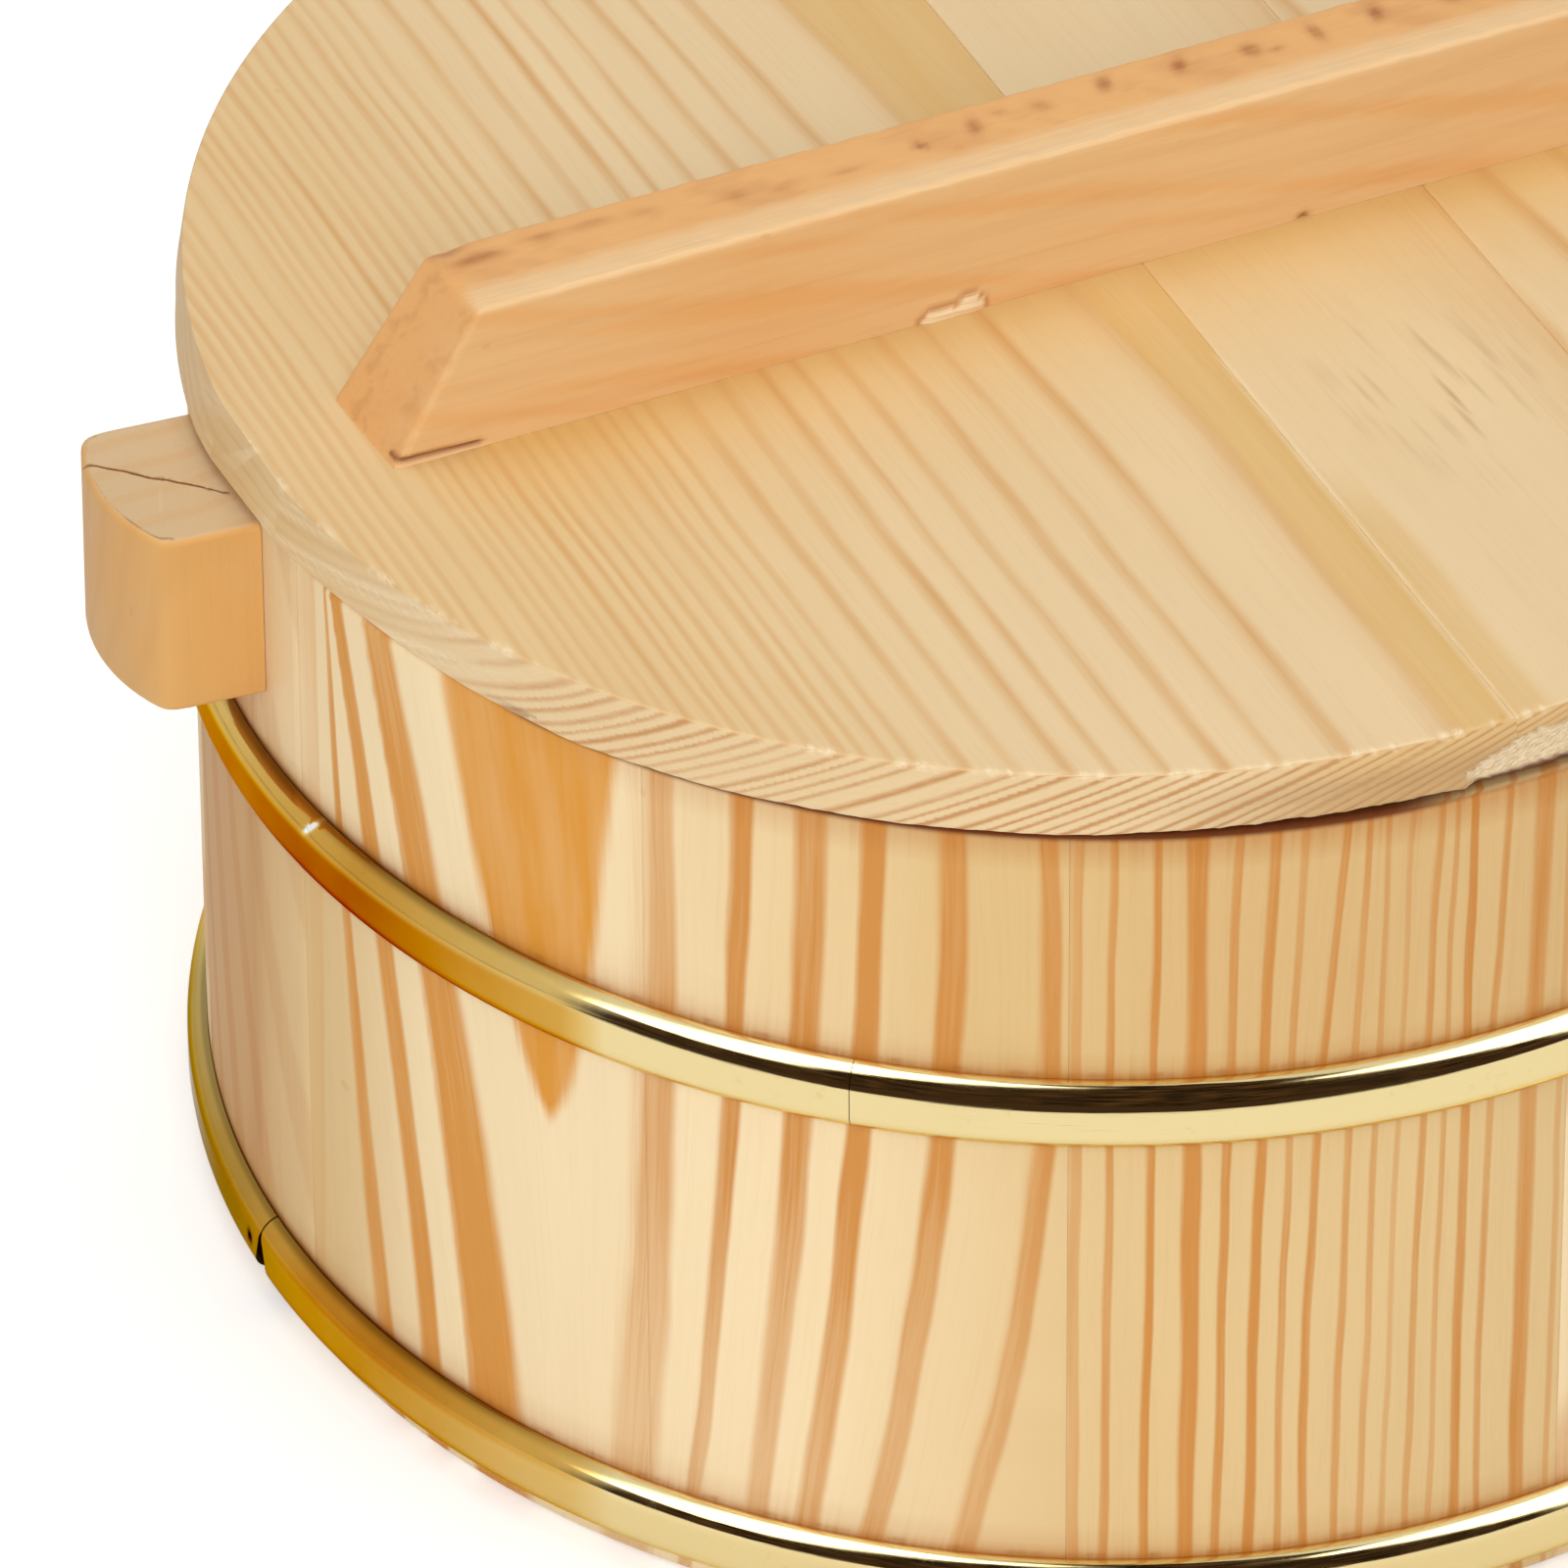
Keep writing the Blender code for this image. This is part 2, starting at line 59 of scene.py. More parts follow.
# Body, as in the CAD model
BODY_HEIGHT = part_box("stave_01")[1].z
RIM_RADIUS = 0.1295
FOOT_RADIUS = 0.1315
INNER_RADIUS = 0.1185
RIM_ROUND = 0.0012
FOOT_CHAMFER = 0.0015
BAR_HALF_WIDTH = 0.006
BAR_MIDDLE = 0.055
TENON_DEPTH = 0.005
TENON_PLAY = 0.0002             # between a bar's end and the floor of its mortise
BAR_ROUND = 0.0009
SLAT_ROUND = 0.0011
WALL_ARC = RIM_RADIUS / MM * DEGREE     # millimetres in a degree

# Ears, as in the CAD model
EAR_HALF_WIDTH = 0.0145
EAR_SHORT_REACH = 0.0139
EAR_LONG_REACH = 0.0171
EAR_END_BULGE = 0.0036
EAR_FLARE = 0.0007              # by which an ear's foot stands further out than its top
EAR_ROUND = 0.0011

# Lid, as in the CAD model
LID_TURN = math.radians(4.8)
LID_PLACE = (-0.0017, 0.0006)
LID_RADIUS = 0.1302
LID_RIM_SLANT = 0.0025
LID_ROUND = 0.0005
LID_SEAM = 0.0004               # width of the planks' rounding at their joints
LID_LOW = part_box("lid_plank_left")[0].z
LID_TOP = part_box("lid_plank_left")[1].z
LID_ARC = LID_RADIUS / MM * DEGREE
MIDDLE_PLANK_START = 0.0019
MIDDLE_PLANK_WIDTH = 0.044
LID_CLEAT_MIDDLE = 0.062
LID_CLEAT_HALF_WIDTH = 0.009
LID_CLEAT_RADIUS = 0.1157
LID_CLEAT_ROUND = 0.001

# Handle, as in the CAD model
BATTEN_TURN = math.radians(0.8)
BATTEN_FORWARD = 0.0028
BATTEN_HALF_FOOT = 0.1127
BATTEN_END_RUN = 0.0139
BATTEN_HALF_WIDTH = 0.0097
BATTEN_HALF_TOP = 0.008
BATTEN_SKEW = 0.0009            # by which its front is shorter than its back, at each end

# Camera fitted to the photograph, with lengths in units of the lid's radius there
PHOTO_UNIT = 0.130
PHOTO_PLANE_Z = 0.1478
CAMERA_DISTANCE = 12.7912
CAMERA_ELEVATION = 0.6095
CAMERA_YAW = -0.0338
CAMERA_PITCH = 0.6564
CAMERA_ROLL = -0.0134
CAMERA_FOCAL_PIXELS = 12074.43
PHOTO_PIXELS = 1600
VIEW_AZIMUTH = -20.7            # of the photograph's upright plane against the ears, in degrees


def smooth(low, high, value):
    """0 below low, 1 above high, with a smooth step between; falls where low is the larger."""
    t = np.clip((value - low) / (high - low), 0.0, 1.0)
    return t * t * (3 - 2 * t)


def span(limits, value):
    return smooth(*limits[:2], value) * (1 - smooth(*limits[2:], value))


def bell(value, middle, width):
    return np.exp(-((value - middle) / width) ** 2)


def most(*values):
    """The largest of several values at each point."""
    return np.maximum.reduce(np.broadcast_arrays(*values))


def wobble(value, seed, waves=4):
    """A smooth curve between about -1 and 1 that never repeats closely, and is the same on each run."""
    total = 0.0
    for wave in range(1, waves + 1):
        rate = 1.7 * wave + 0.61 * math.sin(seed * 1.3 + wave)
        total = total + np.sin(value * rate + seed * 2.1 * wave + wave * wave) / wave
    return total / sum(1 / wave for wave in range(1, waves + 1))


def around(points, turn=0.0):
    """Distance of points from Z, and their angle round it from 0 to 360 degrees."""
    x, y = points[:, 0], points[:, 1]
    return np.hypot(x, y), (np.degrees(np.arctan2(y, x)) + math.degrees(turn)) % 360


def spin(axis, angle):
    return Matrix.Rotation(angle, 4, axis)


def rounding(radius, degrees):
    """How far a rounded edge stands in from the two faces that it joins, at angles from the first."""
    turns = np.radians(degrees)
    return radius * (1 - np.cos(turns)), radius * (1 - np.sin(turns))


def heading(azimuth, elevation):
    """Direction of a place seen from the origin, from angles in degrees."""
    turn, rise = math.radians(azimuth), math.radians(elevation)
    return Vector((math.cos(turn) * math.cos(rise), math.sin(turn) * math.cos(rise), math.sin(rise)))


def rgb(*screen):
    """A linear colour from the 0 to 255 values of a screen colour."""
    shares = [value / 255 for value in screen]
    return (*[s / 12.92 if s <= 0.04045 else ((s + 0.055) / 1.055) ** 2.4 for s in shares], 1.0)


class Nodes:
    """Short calls for building one node tree."""

    def __init__(self, owner):
        owner.use_nodes = True
        self.tree = owner.node_tree
        self.tree.nodes.clear()

    def add(self, kind, inputs=(), **settings):
        node = self.tree.nodes.new("ShaderNode" + kind)
        for key, value in settings.items():
            setattr(node, key, value)
        for key, value in dict(inputs).items():
            if isinstance(value, bpy.types.NodeSocket):
                self.tree.links.new(value, node.inputs[key])
            else:
                node.inputs[key].default_value = value
        return node

    def math(self, operation, *values, clamp=False):
        return self.add("Math", dict(enumerate(values)), operation=operation, use_clamp=clamp).outputs[0]

    def times(self, first, *others):
        for value in others:
            first = self.math('MULTIPLY', first, value)
        return first

    def plus(self, first, *others):
        for value in others:
            first = self.math('ADD', first, value)
        return first

    def sway(self, noise, reach):
        """A noise moved to lie about 0."""
        return self.times(self.math('SUBTRACT', noise, 0.5), reach)

    def step(self, value, low, high, start=0.0, end=1.0):
        return self.add("MapRange", {
            "Value": value, "From Min": low, "From Max": high, "To Min": start, "To Max": end},
            interpolation_type='SMOOTHSTEP').outputs["Result"]

    def mix(self, factor, a, b, blend='MIX'):
        return self.add("Mix", {0: factor, 6: a, 7: b}, data_type='RGBA', blend_type=blend).outputs[2]

    def over(self, colour, layer, *shares):
        return self.mix(self.times(*shares), colour, layer)

    def tinted(self, colour, *tint):
        return self.mix(1.0, colour, (*tint, 1.0), 'MULTIPLY')

    def attribute(self, name, output="Fac"):
        return self.add("Attribute", attribute_name=name, attribute_type='GEOMETRY').outputs[output]

    def scaled(self, vector, scale):
        return self.add("Mapping", {"Vector": vector, "Scale": scale}).outputs[0]

    def noise(self, vector, scale, detail=3.0, roughness=0.5):
        return self.add("TexNoise", {
            "Vector": self.scaled(vector, scale), "Scale": 1.0, "Detail": detail,
            "Roughness": roughness}).outputs["Fac"]

    def surface(self, inputs):
        self.add("OutputMaterial", {0: self.add("BsdfPrincipled", inputs).outputs[0]})


LATE_SHARE = 0.4                # of a growth ring
BOARD_RING_SPACING = 3.2
# Dark red-brown of the painted shade in gaps, contacts, seams and cracks, and of dark marks
SOOT = rgb(112, 52, 20)
# Pale of torn fibre, and of the painted highlight along the lid's top edge
BARE = rgb(248, 228, 190)
WOOD_RELIEF = 0.25
FLECK_STRENGTH = 0.4            # of the resin flecks


def wood(name, *colours, streak=0.2, wear=0.3, soft=0.12, gloss=0.5):
    """Sawn softwood: growth rings, fibre streaks, resin flecks, edges lightened by wear and by painted
    highlight, and end grain.

    Reads what grain() writes. ring counts growth rings and late is how dark they are. tint goes
    from pink to orange latewood, and tone from the pale early wood to the deeper ground,
    which high on the front wall is painted shade and in front of the lid's handle painted bounce light.
    heart is above 0 inside a flame of latewood, and on the ears along painted shade lines.
    stain is old dirt, and on the staves also painted glow and shade by the hoops, painted
    shade at the far left and painted shadow under the lid. soot is painted shade in gaps,
    contacts, seams and cracks, and dark marks. bare is torn fibre, and along the lid's top
    edge a painted highlight. fibre is the place in the board in millimetres, its third value along the grain.
    """
    early, ground, late, late_pink, heart, stain = [rgb(*colour) for colour in colours]
    material = bpy.data.materials.new(name)
    n = Nodes(material)
    fibre = n.attribute("fibre", "Vector")
    cloud = n.noise(fibre, (0.05, 0.05, 0.012))
    fine = n.noise(fibre, (1.1, 1.1, 0.02), 4.0, 0.65)
    hairs = n.noise(fibre, (3.4, 3.4, 0.06), 2.0, 0.6)
    wander = n.noise(fibre, (0.12, 0.12, 0.05), 2.0)

    part = n.math('FRACT', n.plus(n.attribute("ring"), n.sway(wander, 0.05), n.sway(fine, 0.035)))
    rise = n.step(part, 1 - LATE_SHARE - soft, 1 - LATE_SHARE + soft)
    fall = n.step(part, 1 - 1.5 * soft, 1.0, 1.0, 0.0)
    dark = n.times(rise, fall, n.attribute("late"), n.step(cloud, 0.2, 0.8, 0.86, 1.18))
    dark = n.math('MULTIPLY', dark, n.step(fine, 0.25, 0.75, 0.82, 1.15), clamp=True)

    # The deeper ground also carries painted shade high on the front wall and painted bounce light in front of
    # the lid's handle
    pale = n.mix(n.attribute("tone"), early, ground)
    pale = n.mix(n.step(cloud, 0.4, 0.75, 0.0, 0.8), pale, n.tinted(pale, 1.04, 1.05, 1.07))
    colour = n.mix(dark, pale, n.mix(n.attribute("tint"), late_pink, late))
    # On the ears this flame is a painted shade line along the top's edge and its crack
    flame = n.step(n.plus(n.attribute("heart"), n.sway(fine, 0.9)), -0.45, 0.8)
    smudge = n.step(n.noise(fibre, (0.16, 0.10, 0.02), 4.0), 0.35, 0.7, 1.0, 0.80)
    colour = n.over(colour, heart, flame, smudge)
    darker = n.tinted(colour, 0.84, 0.72, 0.58)
    colour = n.over(colour, darker, n.step(fine, 0.45, 0.85), streak)
    colour = n.over(colour, darker, n.step(hairs, 0.58, 0.8), streak * 0.8)
    # Old dirt, and on the staves painted glow and shade by the hoops, painted shade at the far left and
    # painted shadow under the lid
    colour = n.over(colour, stain, n.attribute("stain"), n.step(fine, 0.2, 0.8, 0.7, 1.0))
    # Torn fibre, and the painted highlight along the lid's top edge
    colour = n.over(colour, BARE, n.attribute("bare"), n.step(hairs, 0.35, 0.6, 0.2, 1.0))
    # Painted shade in gaps, contacts, seams and cracks, and dark marks
    colour = n.over(colour, SOOT, n.step(n.attribute("soot"), 0.0, 1.0))

    dots = n.add("TexVoronoi", {"Vector": n.scaled(fibre, (0.13, 0.13, 0.07)), "Scale": 1.0})
    rare = n.add("SeparateColor", {"Color": dots.outputs["Color"]}).outputs[0]
    fleck = n.step(dots.outputs["Distance"], 0.03, 0.08, 1.0, 0.0)
    colour = n.over(colour, darker, fleck, n.step(rare, 0.82, 0.86), FLECK_STRENGTH)

    # Pointed edges lighter: partly wear, partly painted highlight
    edge = n.step(n.add("NewGeometry").outputs["Pointiness"], 0.51, 0.58)
    worn = n.tinted(colour, 1.15, 1.17, 1.17)
    colour = n.over(colour, worn, edge, n.step(fine, 0.35, 0.65, 0.3, 1.0), wear)

    height = n.math('SUBTRACT', n.plus(n.times(fine, 0.6), n.times(hairs, 0.4)), n.times(dark, 0.25))
    relief = n.add("Bump", {"Height": height, "Strength": WOOD_RELIEF, "Distance": 0.0003})
    n.surface({"Base Color": colour, "Roughness": n.step(fine, 0.2, 0.8, 0.58, 0.44),
               "Normal": relief.outputs[0], "Specular IOR Level": gloss})
    return material


def metal(name, bright, dull, roughness):
    """Polished metal with faint dents. tarnish is the amber of a painted reflection, grime its painted shade.
    """
    material = bpy.data.materials.new(name)
    n = Nodes(material)
    place = n.add("TexCoord").outputs["Object"]
    cloud = n.noise(place, (60, 60, 60), 4.0)
    lines = n.noise(place, (40, 40, 2600), 3.0, 0.6)
    spots = n.noise(place, (260, 260, 260), 5.0, 0.7)
    # Amber of a painted warm reflection, and a painted glint where it is below 0
    amber = n.plus(n.times(n.attribute("tarnish"), n.step(cloud, 0.3, 0.7, 0.90, 1.10)),
                   n.step(spots, 0.60, 0.8, 0.0, 0.10))
    # Darkened by painted shade and a painted darker reflection
    clean = n.math('SUBTRACT', 1.0, n.times(n.attribute("grime"), 0.8))
    channels = [n.times(a, n.math('POWER', b / a, amber), clean)
                for a, b in zip(rgb(*bright)[:3], rgb(*dull)[:3])]
    tint = n.add("CombineColor", dict(enumerate(channels))).outputs[0]
    shine = n.plus(n.step(cloud, 0.3, 0.7, roughness - 0.03, roughness + 0.05),
                   n.step(spots, 0.55, 0.8, 0.0, 0.10))
    relief = n.add("Bump", {"Height": n.plus(n.times(lines, 0.35), cloud), "Strength": 0.10,
                            "Distance": 0.0005})
    n.surface({"Base Color": tint, "Specular Tint": tint, "Roughness": shine,
               "Normal": relief.outputs[0], "Metallic": 1.0})
    return material


# Each wood's screen colours: early wood, deeper ground, latewood, pink latewood, heart and stain;
# the ears' heart colour is that of painted shade lines, the staves' stain colour also that of painted glow
# and shade
STAVE_WOOD = wood("stave_wood", (250, 225, 180), (227, 192, 133), (221, 152, 67), (208, 142, 76),
                  (226, 153, 52), (188, 112, 34), streak=0.25, wear=0.08, soft=0.07, gloss=0.2)
LID_WOOD = wood("lid_wood", (233, 204, 157), (220, 178, 109), (214, 160, 92), (204, 150, 96),
                (224, 170, 100), (176, 134, 90), streak=0.3, wear=0.12, soft=0.19)
BATTEN_WOOD = wood("batten_wood", (234, 190, 134), (232, 172, 104), (224, 168, 108), (212, 156, 102),
                   (216, 174, 124), (176, 106, 50), streak=0.34)
EAR_WOOD = wood("ear_wood", (222, 167, 94), (212, 180, 136), (214, 154, 84), (208, 150, 84),
                (160, 106, 58), (120, 80, 48), wear=0.6)
GRATE_WOOD = wood("grate_wood", (240, 214, 170), (232, 196, 142), (218, 160, 94), (208, 150, 92),
                  (224, 170, 100), (190, 130, 60), streak=0.3)
BAMBOO = wood("bamboo", (222, 202, 146), (214, 190, 130), (190, 160, 98), (180, 150, 90),
              (200, 170, 110), (160, 130, 70), streak=0.5)
BRASS = metal("brass", (242, 222, 164), (182, 108, 19), 0.08)
STEEL = metal("steel", (200, 200, 202), (150, 150, 152), 0.26)


def add_object(name, data, material=None):
    item = bpy.data.objects.new(name, data)
    bpy.context.scene.collection.objects.link(item)
    if material:
        data.materials.append(material)
    return item


def solid(name, sections, material=None):
    """Joins closed sections, each an array of points, into one closed mesh."""
    sections = np.asarray(sections, float)
    count, size = sections.shape[:2]
    row, column = np.arange(count - 1)[:, None] * size, np.arange(size)[None, :]
    a, b = row + column, row + (column + 1) % size
    faces = np.stack([a, b, b + size, a + size], -1).reshape(-1, 4).tolist()
    faces.append(list(range(size)))
    faces.append(list(range((count - 1) * size, count * size))[::-1])
    mesh = bpy.data.meshes.new(name)
    mesh.from_pydata(sections.reshape(-1, 3).tolist(), [], faces)
    bm = bmesh.new()
    bm.from_mesh(mesh)
    bmesh.ops.recalc_face_normals(bm, faces=bm.faces)
    bm.to_mesh(mesh)
    bm.free()
    return add_object(name, mesh, material)


def box(name, corner, opposite, material=None):
    (x0, y0, z0), (x1, y1, z1) = corner, opposite
    return solid(name, [[(x, y0, z0), (x, y1, z0), (x, y1, z1), (x, y0, z1)] for x in (x0, x1)], material)


def turned(name, profile, direction, start, height, material=None, steps=40):
    """A profile of (radius, place) points turned about a line along X, at a height on one side."""
    turns = np.arange(steps) * 2 * math.pi / steps
    sections = [[(max(radius, 1e-5) * math.cos(turn), max(radius, 1e-5) * math.sin(turn), place)
                 for turn in turns] for radius, place in profile]
    item = solid(name, sections, material)
    upright = spin('Y', direction * math.pi / 2)
    item.data.transform(Matrix.Translation((direction * start, 0, height)) @ upright)
    return item


def shade(item, degrees=40):
    item.data.shade_smooth()
    item.data.set_sharp_from_angle(angle=math.radians(degrees))


def points_of(item):
    flat = np.empty(len(item.data.vertices) * 3)
    item.data.vertices.foreach_get("co", flat)
    return flat.reshape(-1, 3)


def move_points(item, points):
    item.data.vertices.foreach_set("co", points.ravel())
    item.data.update()


def carve(item, cutters):
    """Cuts the cutters out of a piece for good, and deletes them."""
    for number, cutter in enumerate(cutters):
        modifier = item.modifiers.new(f"cut {number}", 'BOOLEAN')
        modifier.operation = 'DIFFERENCE'
        modifier.object = cutter
    bpy.context.view_layer.update()
    mesh = bpy.data.meshes.new_from_object(item.evaluated_get(bpy.context.evaluated_depsgraph_get()))
    item.modifiers.clear()
    item.data = mesh
    for cutter in cutters:
        bpy.data.objects.remove(cutter, do_unlink=True)


def stands_for(item, node, body):
    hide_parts(node)
    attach(item, body)


def write(item, **values):
    """Writes one number per point, or the same number for all, as attributes of a piece."""
    for name, value in values.items():
        attribute = item.data.attributes.new(name, 'FLOAT', 'POINT')
        value = np.broadcast_to(value, len(item.data.vertices))
        attribute.data.foreach_set("value", value.astype(np.float32))


def grain(item, ring, fibre, late=1.0, heart=-9.0, stain=0.0, tint=0.5, tone=0.0, bare=0.0, soot=0.0):
    """Writes what the wood material reads onto a piece's points."""
    write(item, ring=ring, late=late, heart=heart, stain=stain, tint=tint, tone=tone, bare=bare, soot=soot)
    attribute = item.data.attributes.new("fibre", 'FLOAT_VECTOR', 'POINT')
    attribute.data.foreach_set("vector", np.stack(fibre, 1).astype(np.float32).ravel())


def pith_rings(across, depth, along, pith, lean, spacing, seed):
    """Number of the growth ring at each point of a board cut at a distance from the tree's pith."""
    radius = np.hypot(across - pith[0] - lean[0] * along, depth - pith[1] - lean[1] * along)
    return (radius / spacing + 0.9 * wobble(radius / 31, seed) + 0.25 * wobble(radius / 7, seed + 3)
            + 0.10 * wobble(along / 70 + across / 50, seed + 1))


def board_grain(item, seed, along_axis, tone):
    """Grain of a plain board: rings about a pith outside it, along one axis of the board."""
    points = points_of(item) / MM
    along, across, depth = points[:, along_axis], points[:, 1 - along_axis], points[:, 2]
    pith = (across.mean() + 26 * math.sin(seed * 1.7), depth.mean() + 30 + 24 * math.sin(seed) ** 2)
    lean = (0.03 * math.sin(seed * 1.9), 0.04 * math.sin(seed * 0.7))
    ring = pith_rings(across, depth, along, pith, lean, BOARD_RING_SPACING, seed)
    fibre = (across + 61 * seed, depth, along + 170 * seed)
    grain(item, ring, fibre, 0.75, tint=0.5 + 0.5 * math.sin(seed * 2.3), tone=tone)


# The front boards' grain, read from the photograph: for each dark band its angle at the rim,
# at mid height and at the foot, its width at the rim and at the foot, and how dark it is
GRAIN_RIM_Z, GRAIN_MIDDLE_Z, GRAIN_FOOT_Z = 138.0, 84.0, 16.4
LEFT_BANDS = (
    (192.6, 192.6, 191.6, 1.4, 1.6, 0.20), (194.6, 196.2, 199.3, 0.3, 1.6, 0.85),
    (195.9, 200.3, 203.8, 1.4, 1.7, 0.97), (200.3, 205.5, 209.6, 2.7, 4.2, 0.84),
    (222.5, 222.1, 220.1, 1.5, 3.0, 0.64), (227.8, 226.8, 224.2, 1.3, 0.9, 0.82),
    (232.2, 231.2, 228.3, 1.9, 1.4, 0.78), (236.0, 234.9, 231.7, 1.4, 1.5, 1.00),
    (240.7, 240.0, 235.8, 1.6, 1.4, 0.92), (246.4, 246.1, 241.4, 1.0, 1.5, 0.78),
)
RIGHT_BANDS = (
    (248.1, 248.0, 247.9, 0.5, 0.7, 0.55), (250.1, 250.0, 249.8, 0.4, 0.5, 0.70),
    (252.8, 252.5, 252.2, 0.4, 0.5, 0.85), (255.2, 255.0, 254.8, 1.2, 0.9, 0.90),
    (257.5, 257.0, 256.6, 0.5, 0.5, 0.75), (259.7, 259.0, 258.6, 0.6, 0.6, 0.90),
    (261.4, 260.7, 260.3, 0.4, 0.4, 0.60), (264.0, 262.4, 261.9, 0.4, 0.5, 0.80),
    (265.4, 264.4, 263.9, 0.4, 0.4, 0.65), (266.6, 266.0, 265.5, 0.3, 0.4, 0.50),
    (268.0, 267.4, 266.9, 0.3, 0.3, 0.35), (269.8, 269.0, 268.4, 0.4, 0.4, 0.65),
    (270.8, 270.3, 269.9, 0.3, 0.3, 0.50), (271.9, 271.7, 271.5, 0.5, 0.6, 0.85),
    (274.2, 273.3, 273.0, 0.4, 0.4, 0.60), (276.7, 276.0, 275.8, 1.2, 0.9, 0.80),
    (278.3, 278.0, 277.8, 0.3, 0.3, 0.50),
)
BAND_SPREAD = 1.25              # makes up for the soft edges that the wood material gives a band
BAND_GAIN = 1.12                # on how dark a band is
FLAME_TIP_Z = 73.0
FLAME_TIP_ANGLE = 214.1
FLAME_RIM_ANGLE = 212.6
FLAME_HALF_WIDTH = 6.8          # in degrees, at the rim
FLAME_DEPTH = 43.0              # of the tree's pith, behind the wall's face

# Staves, counted from the right ear, and the marks, painted glow and painted shade on them
RIGHT_EAR_STAVE = 1
LEFT_EAR_STAVE = 8
FRONT_STAVES = (9, 10, 11)      # with grain from the photograph
FINE_STAVE = 11                 # cut from a tree with narrow rings
HOOP_TOPS = (15.0, 99.4)
LOWER_SEAM, UPPER_SEAM = 185.8, 234.7
FRONT_STEP, SIDE_STEP = 0.25, 1.0       # degrees between a stave's points
STAVE_EASE = 0.00006            # off the corners of its joints
FACE_SKIN = 0.0005              # within which a point counts as on the wall's outer face
OPEN_SPAN = (209, 214, 330, 345)        # where the lid's rim is chipped and gapes over the wall
RIM_SOOT_RADII = (0.1259, 0.1267)       # the painted shade under the lid starts and is full
RIM_SOOT_Z = (139.0, 139.6)
LID_SHADE_SPAN = (200, 245, 300, 340)
LID_SHADE_Z = (133.5, 139.0)
CONTACT_FADE, EDGING_FADE = 1.2, 1.7    # upwards from a hoop's top, of the painted contact shadow and of the painted glow and shade above it
PINK_BAND_ANGLE = 183.2         # of a reddish band in the left ear's stave


def line_rings(place, middles, widths):
    """Growth rings whose latewood lies on lines of the given middles and widths."""
    edges = np.stack([middles - widths / 2, middles + widths / 2], 1)
    ends = np.arange(len(middles)) + 1
    return np.interp(place, edges.ravel(), np.stack([ends - LATE_SHARE, ends], 1).ravel())


def band_grain(bands, angle, height):
    """Ring number, darkness and the angle at the rim of points on a wall that has listed bands."""
    rim, half_way, foot, rim_width, foot_width, dark = np.array(bands).T
    found = np.empty((3, len(angle)))
    reach = (GRAIN_RIM_Z - GRAIN_MIDDLE_Z, GRAIN_RIM_Z - GRAIN_FOOT_Z)
    level = np.round(height, 2)
    for z in np.unique(level):
        down = GRAIN_RIM_Z - z
        pull = (down * (down - reach[1]) / (reach[0] * (reach[0] - reach[1])),
                down * (down - reach[0]) / (reach[1] * (reach[1] - reach[0])))
        middle = rim + (half_way - rim) * pull[0] + (foot - rim) * pull[1]
        width = BAND_SPREAD * (rim_width + (foot_width - rim_width) * down / reach[1])
        here = level == z
        place = angle[here]
        found[0, here] = line_rings(place, middle, width)
        found[1, here] = np.interp(place, middle, np.minimum(dark * BAND_GAIN, 1.0))
        found[2, here] = np.interp(place, middle, rim)
    return found


def wall_radius(height):
    return FOOT_RADIUS - (FOOT_RADIUS - RIM_RADIUS) * height / BODY_HEIGHT


def wall_section():
    """Section of the wall, with points close together where the hoops and the rim draw the eye."""
    lower = [0.0015, 0.004, 0.009, 0.0149, 0.0153, 0.0157, 0.0164, 0.0175]
    upper = [0.0872, 0.0884, 0.094, 0.0993, 0.0997, 0.1001, 0.1008, 0.1018, 0.104]
    heights = [*lower, *np.arange(0.021, 0.086, 0.005), *upper, *np.arange(0.109, 0.137, 0.005),
               BODY_HEIGHT - RIM_ROUND]
    outer = [(wall_radius(z), z) for z in heights]
    tuck, drop = rounding(RIM_ROUND, [22.5, 45, 67.5, 90])
    rise = BODY_HEIGHT - drop
    top = [(INNER_RADIUS + (RIM_RADIUS - INNER_RADIUS) * share, BODY_HEIGHT)
           for share in (0.75, 0.66, 0.5, 0.25)]
    inner = [(INNER_RADIUS, z) for z in np.arange(0.136, FOOT_CHAMFER, -0.008)]
    foot = [(INNER_RADIUS, FOOT_CHAMFER), (INNER_RADIUS + FOOT_CHAMFER, 0.0),
            ((INNER_RADIUS + FOOT_RADIUS) / 2, 0.0), (FOOT_RADIUS - FOOT_CHAMFER, 0.0)]
    return np.array([*outer, *zip(RIM_RADIUS - tuck, rise), *top,
                     *zip(INNER_RADIUS + tuck[::-1], rise[::-1]), *inner, *foot]).T


def stave_span(name):
    """First and last angle of a stave, halfway into the joints at its sides."""
    points = points_of(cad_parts[name])
    low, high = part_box(name)
    middle = math.atan2((low.y + high.y) / 2, (low.x + high.x) / 2)
    from_middle = (np.arctan2(points[:, 1], points[:, 0]) - middle + math.pi) % (2 * math.pi) - math.pi
    half_gap = GAP / INNER_RADIUS / 2
    return middle + from_middle.min() - half_gap, middle + from_middle.max() + half_gap


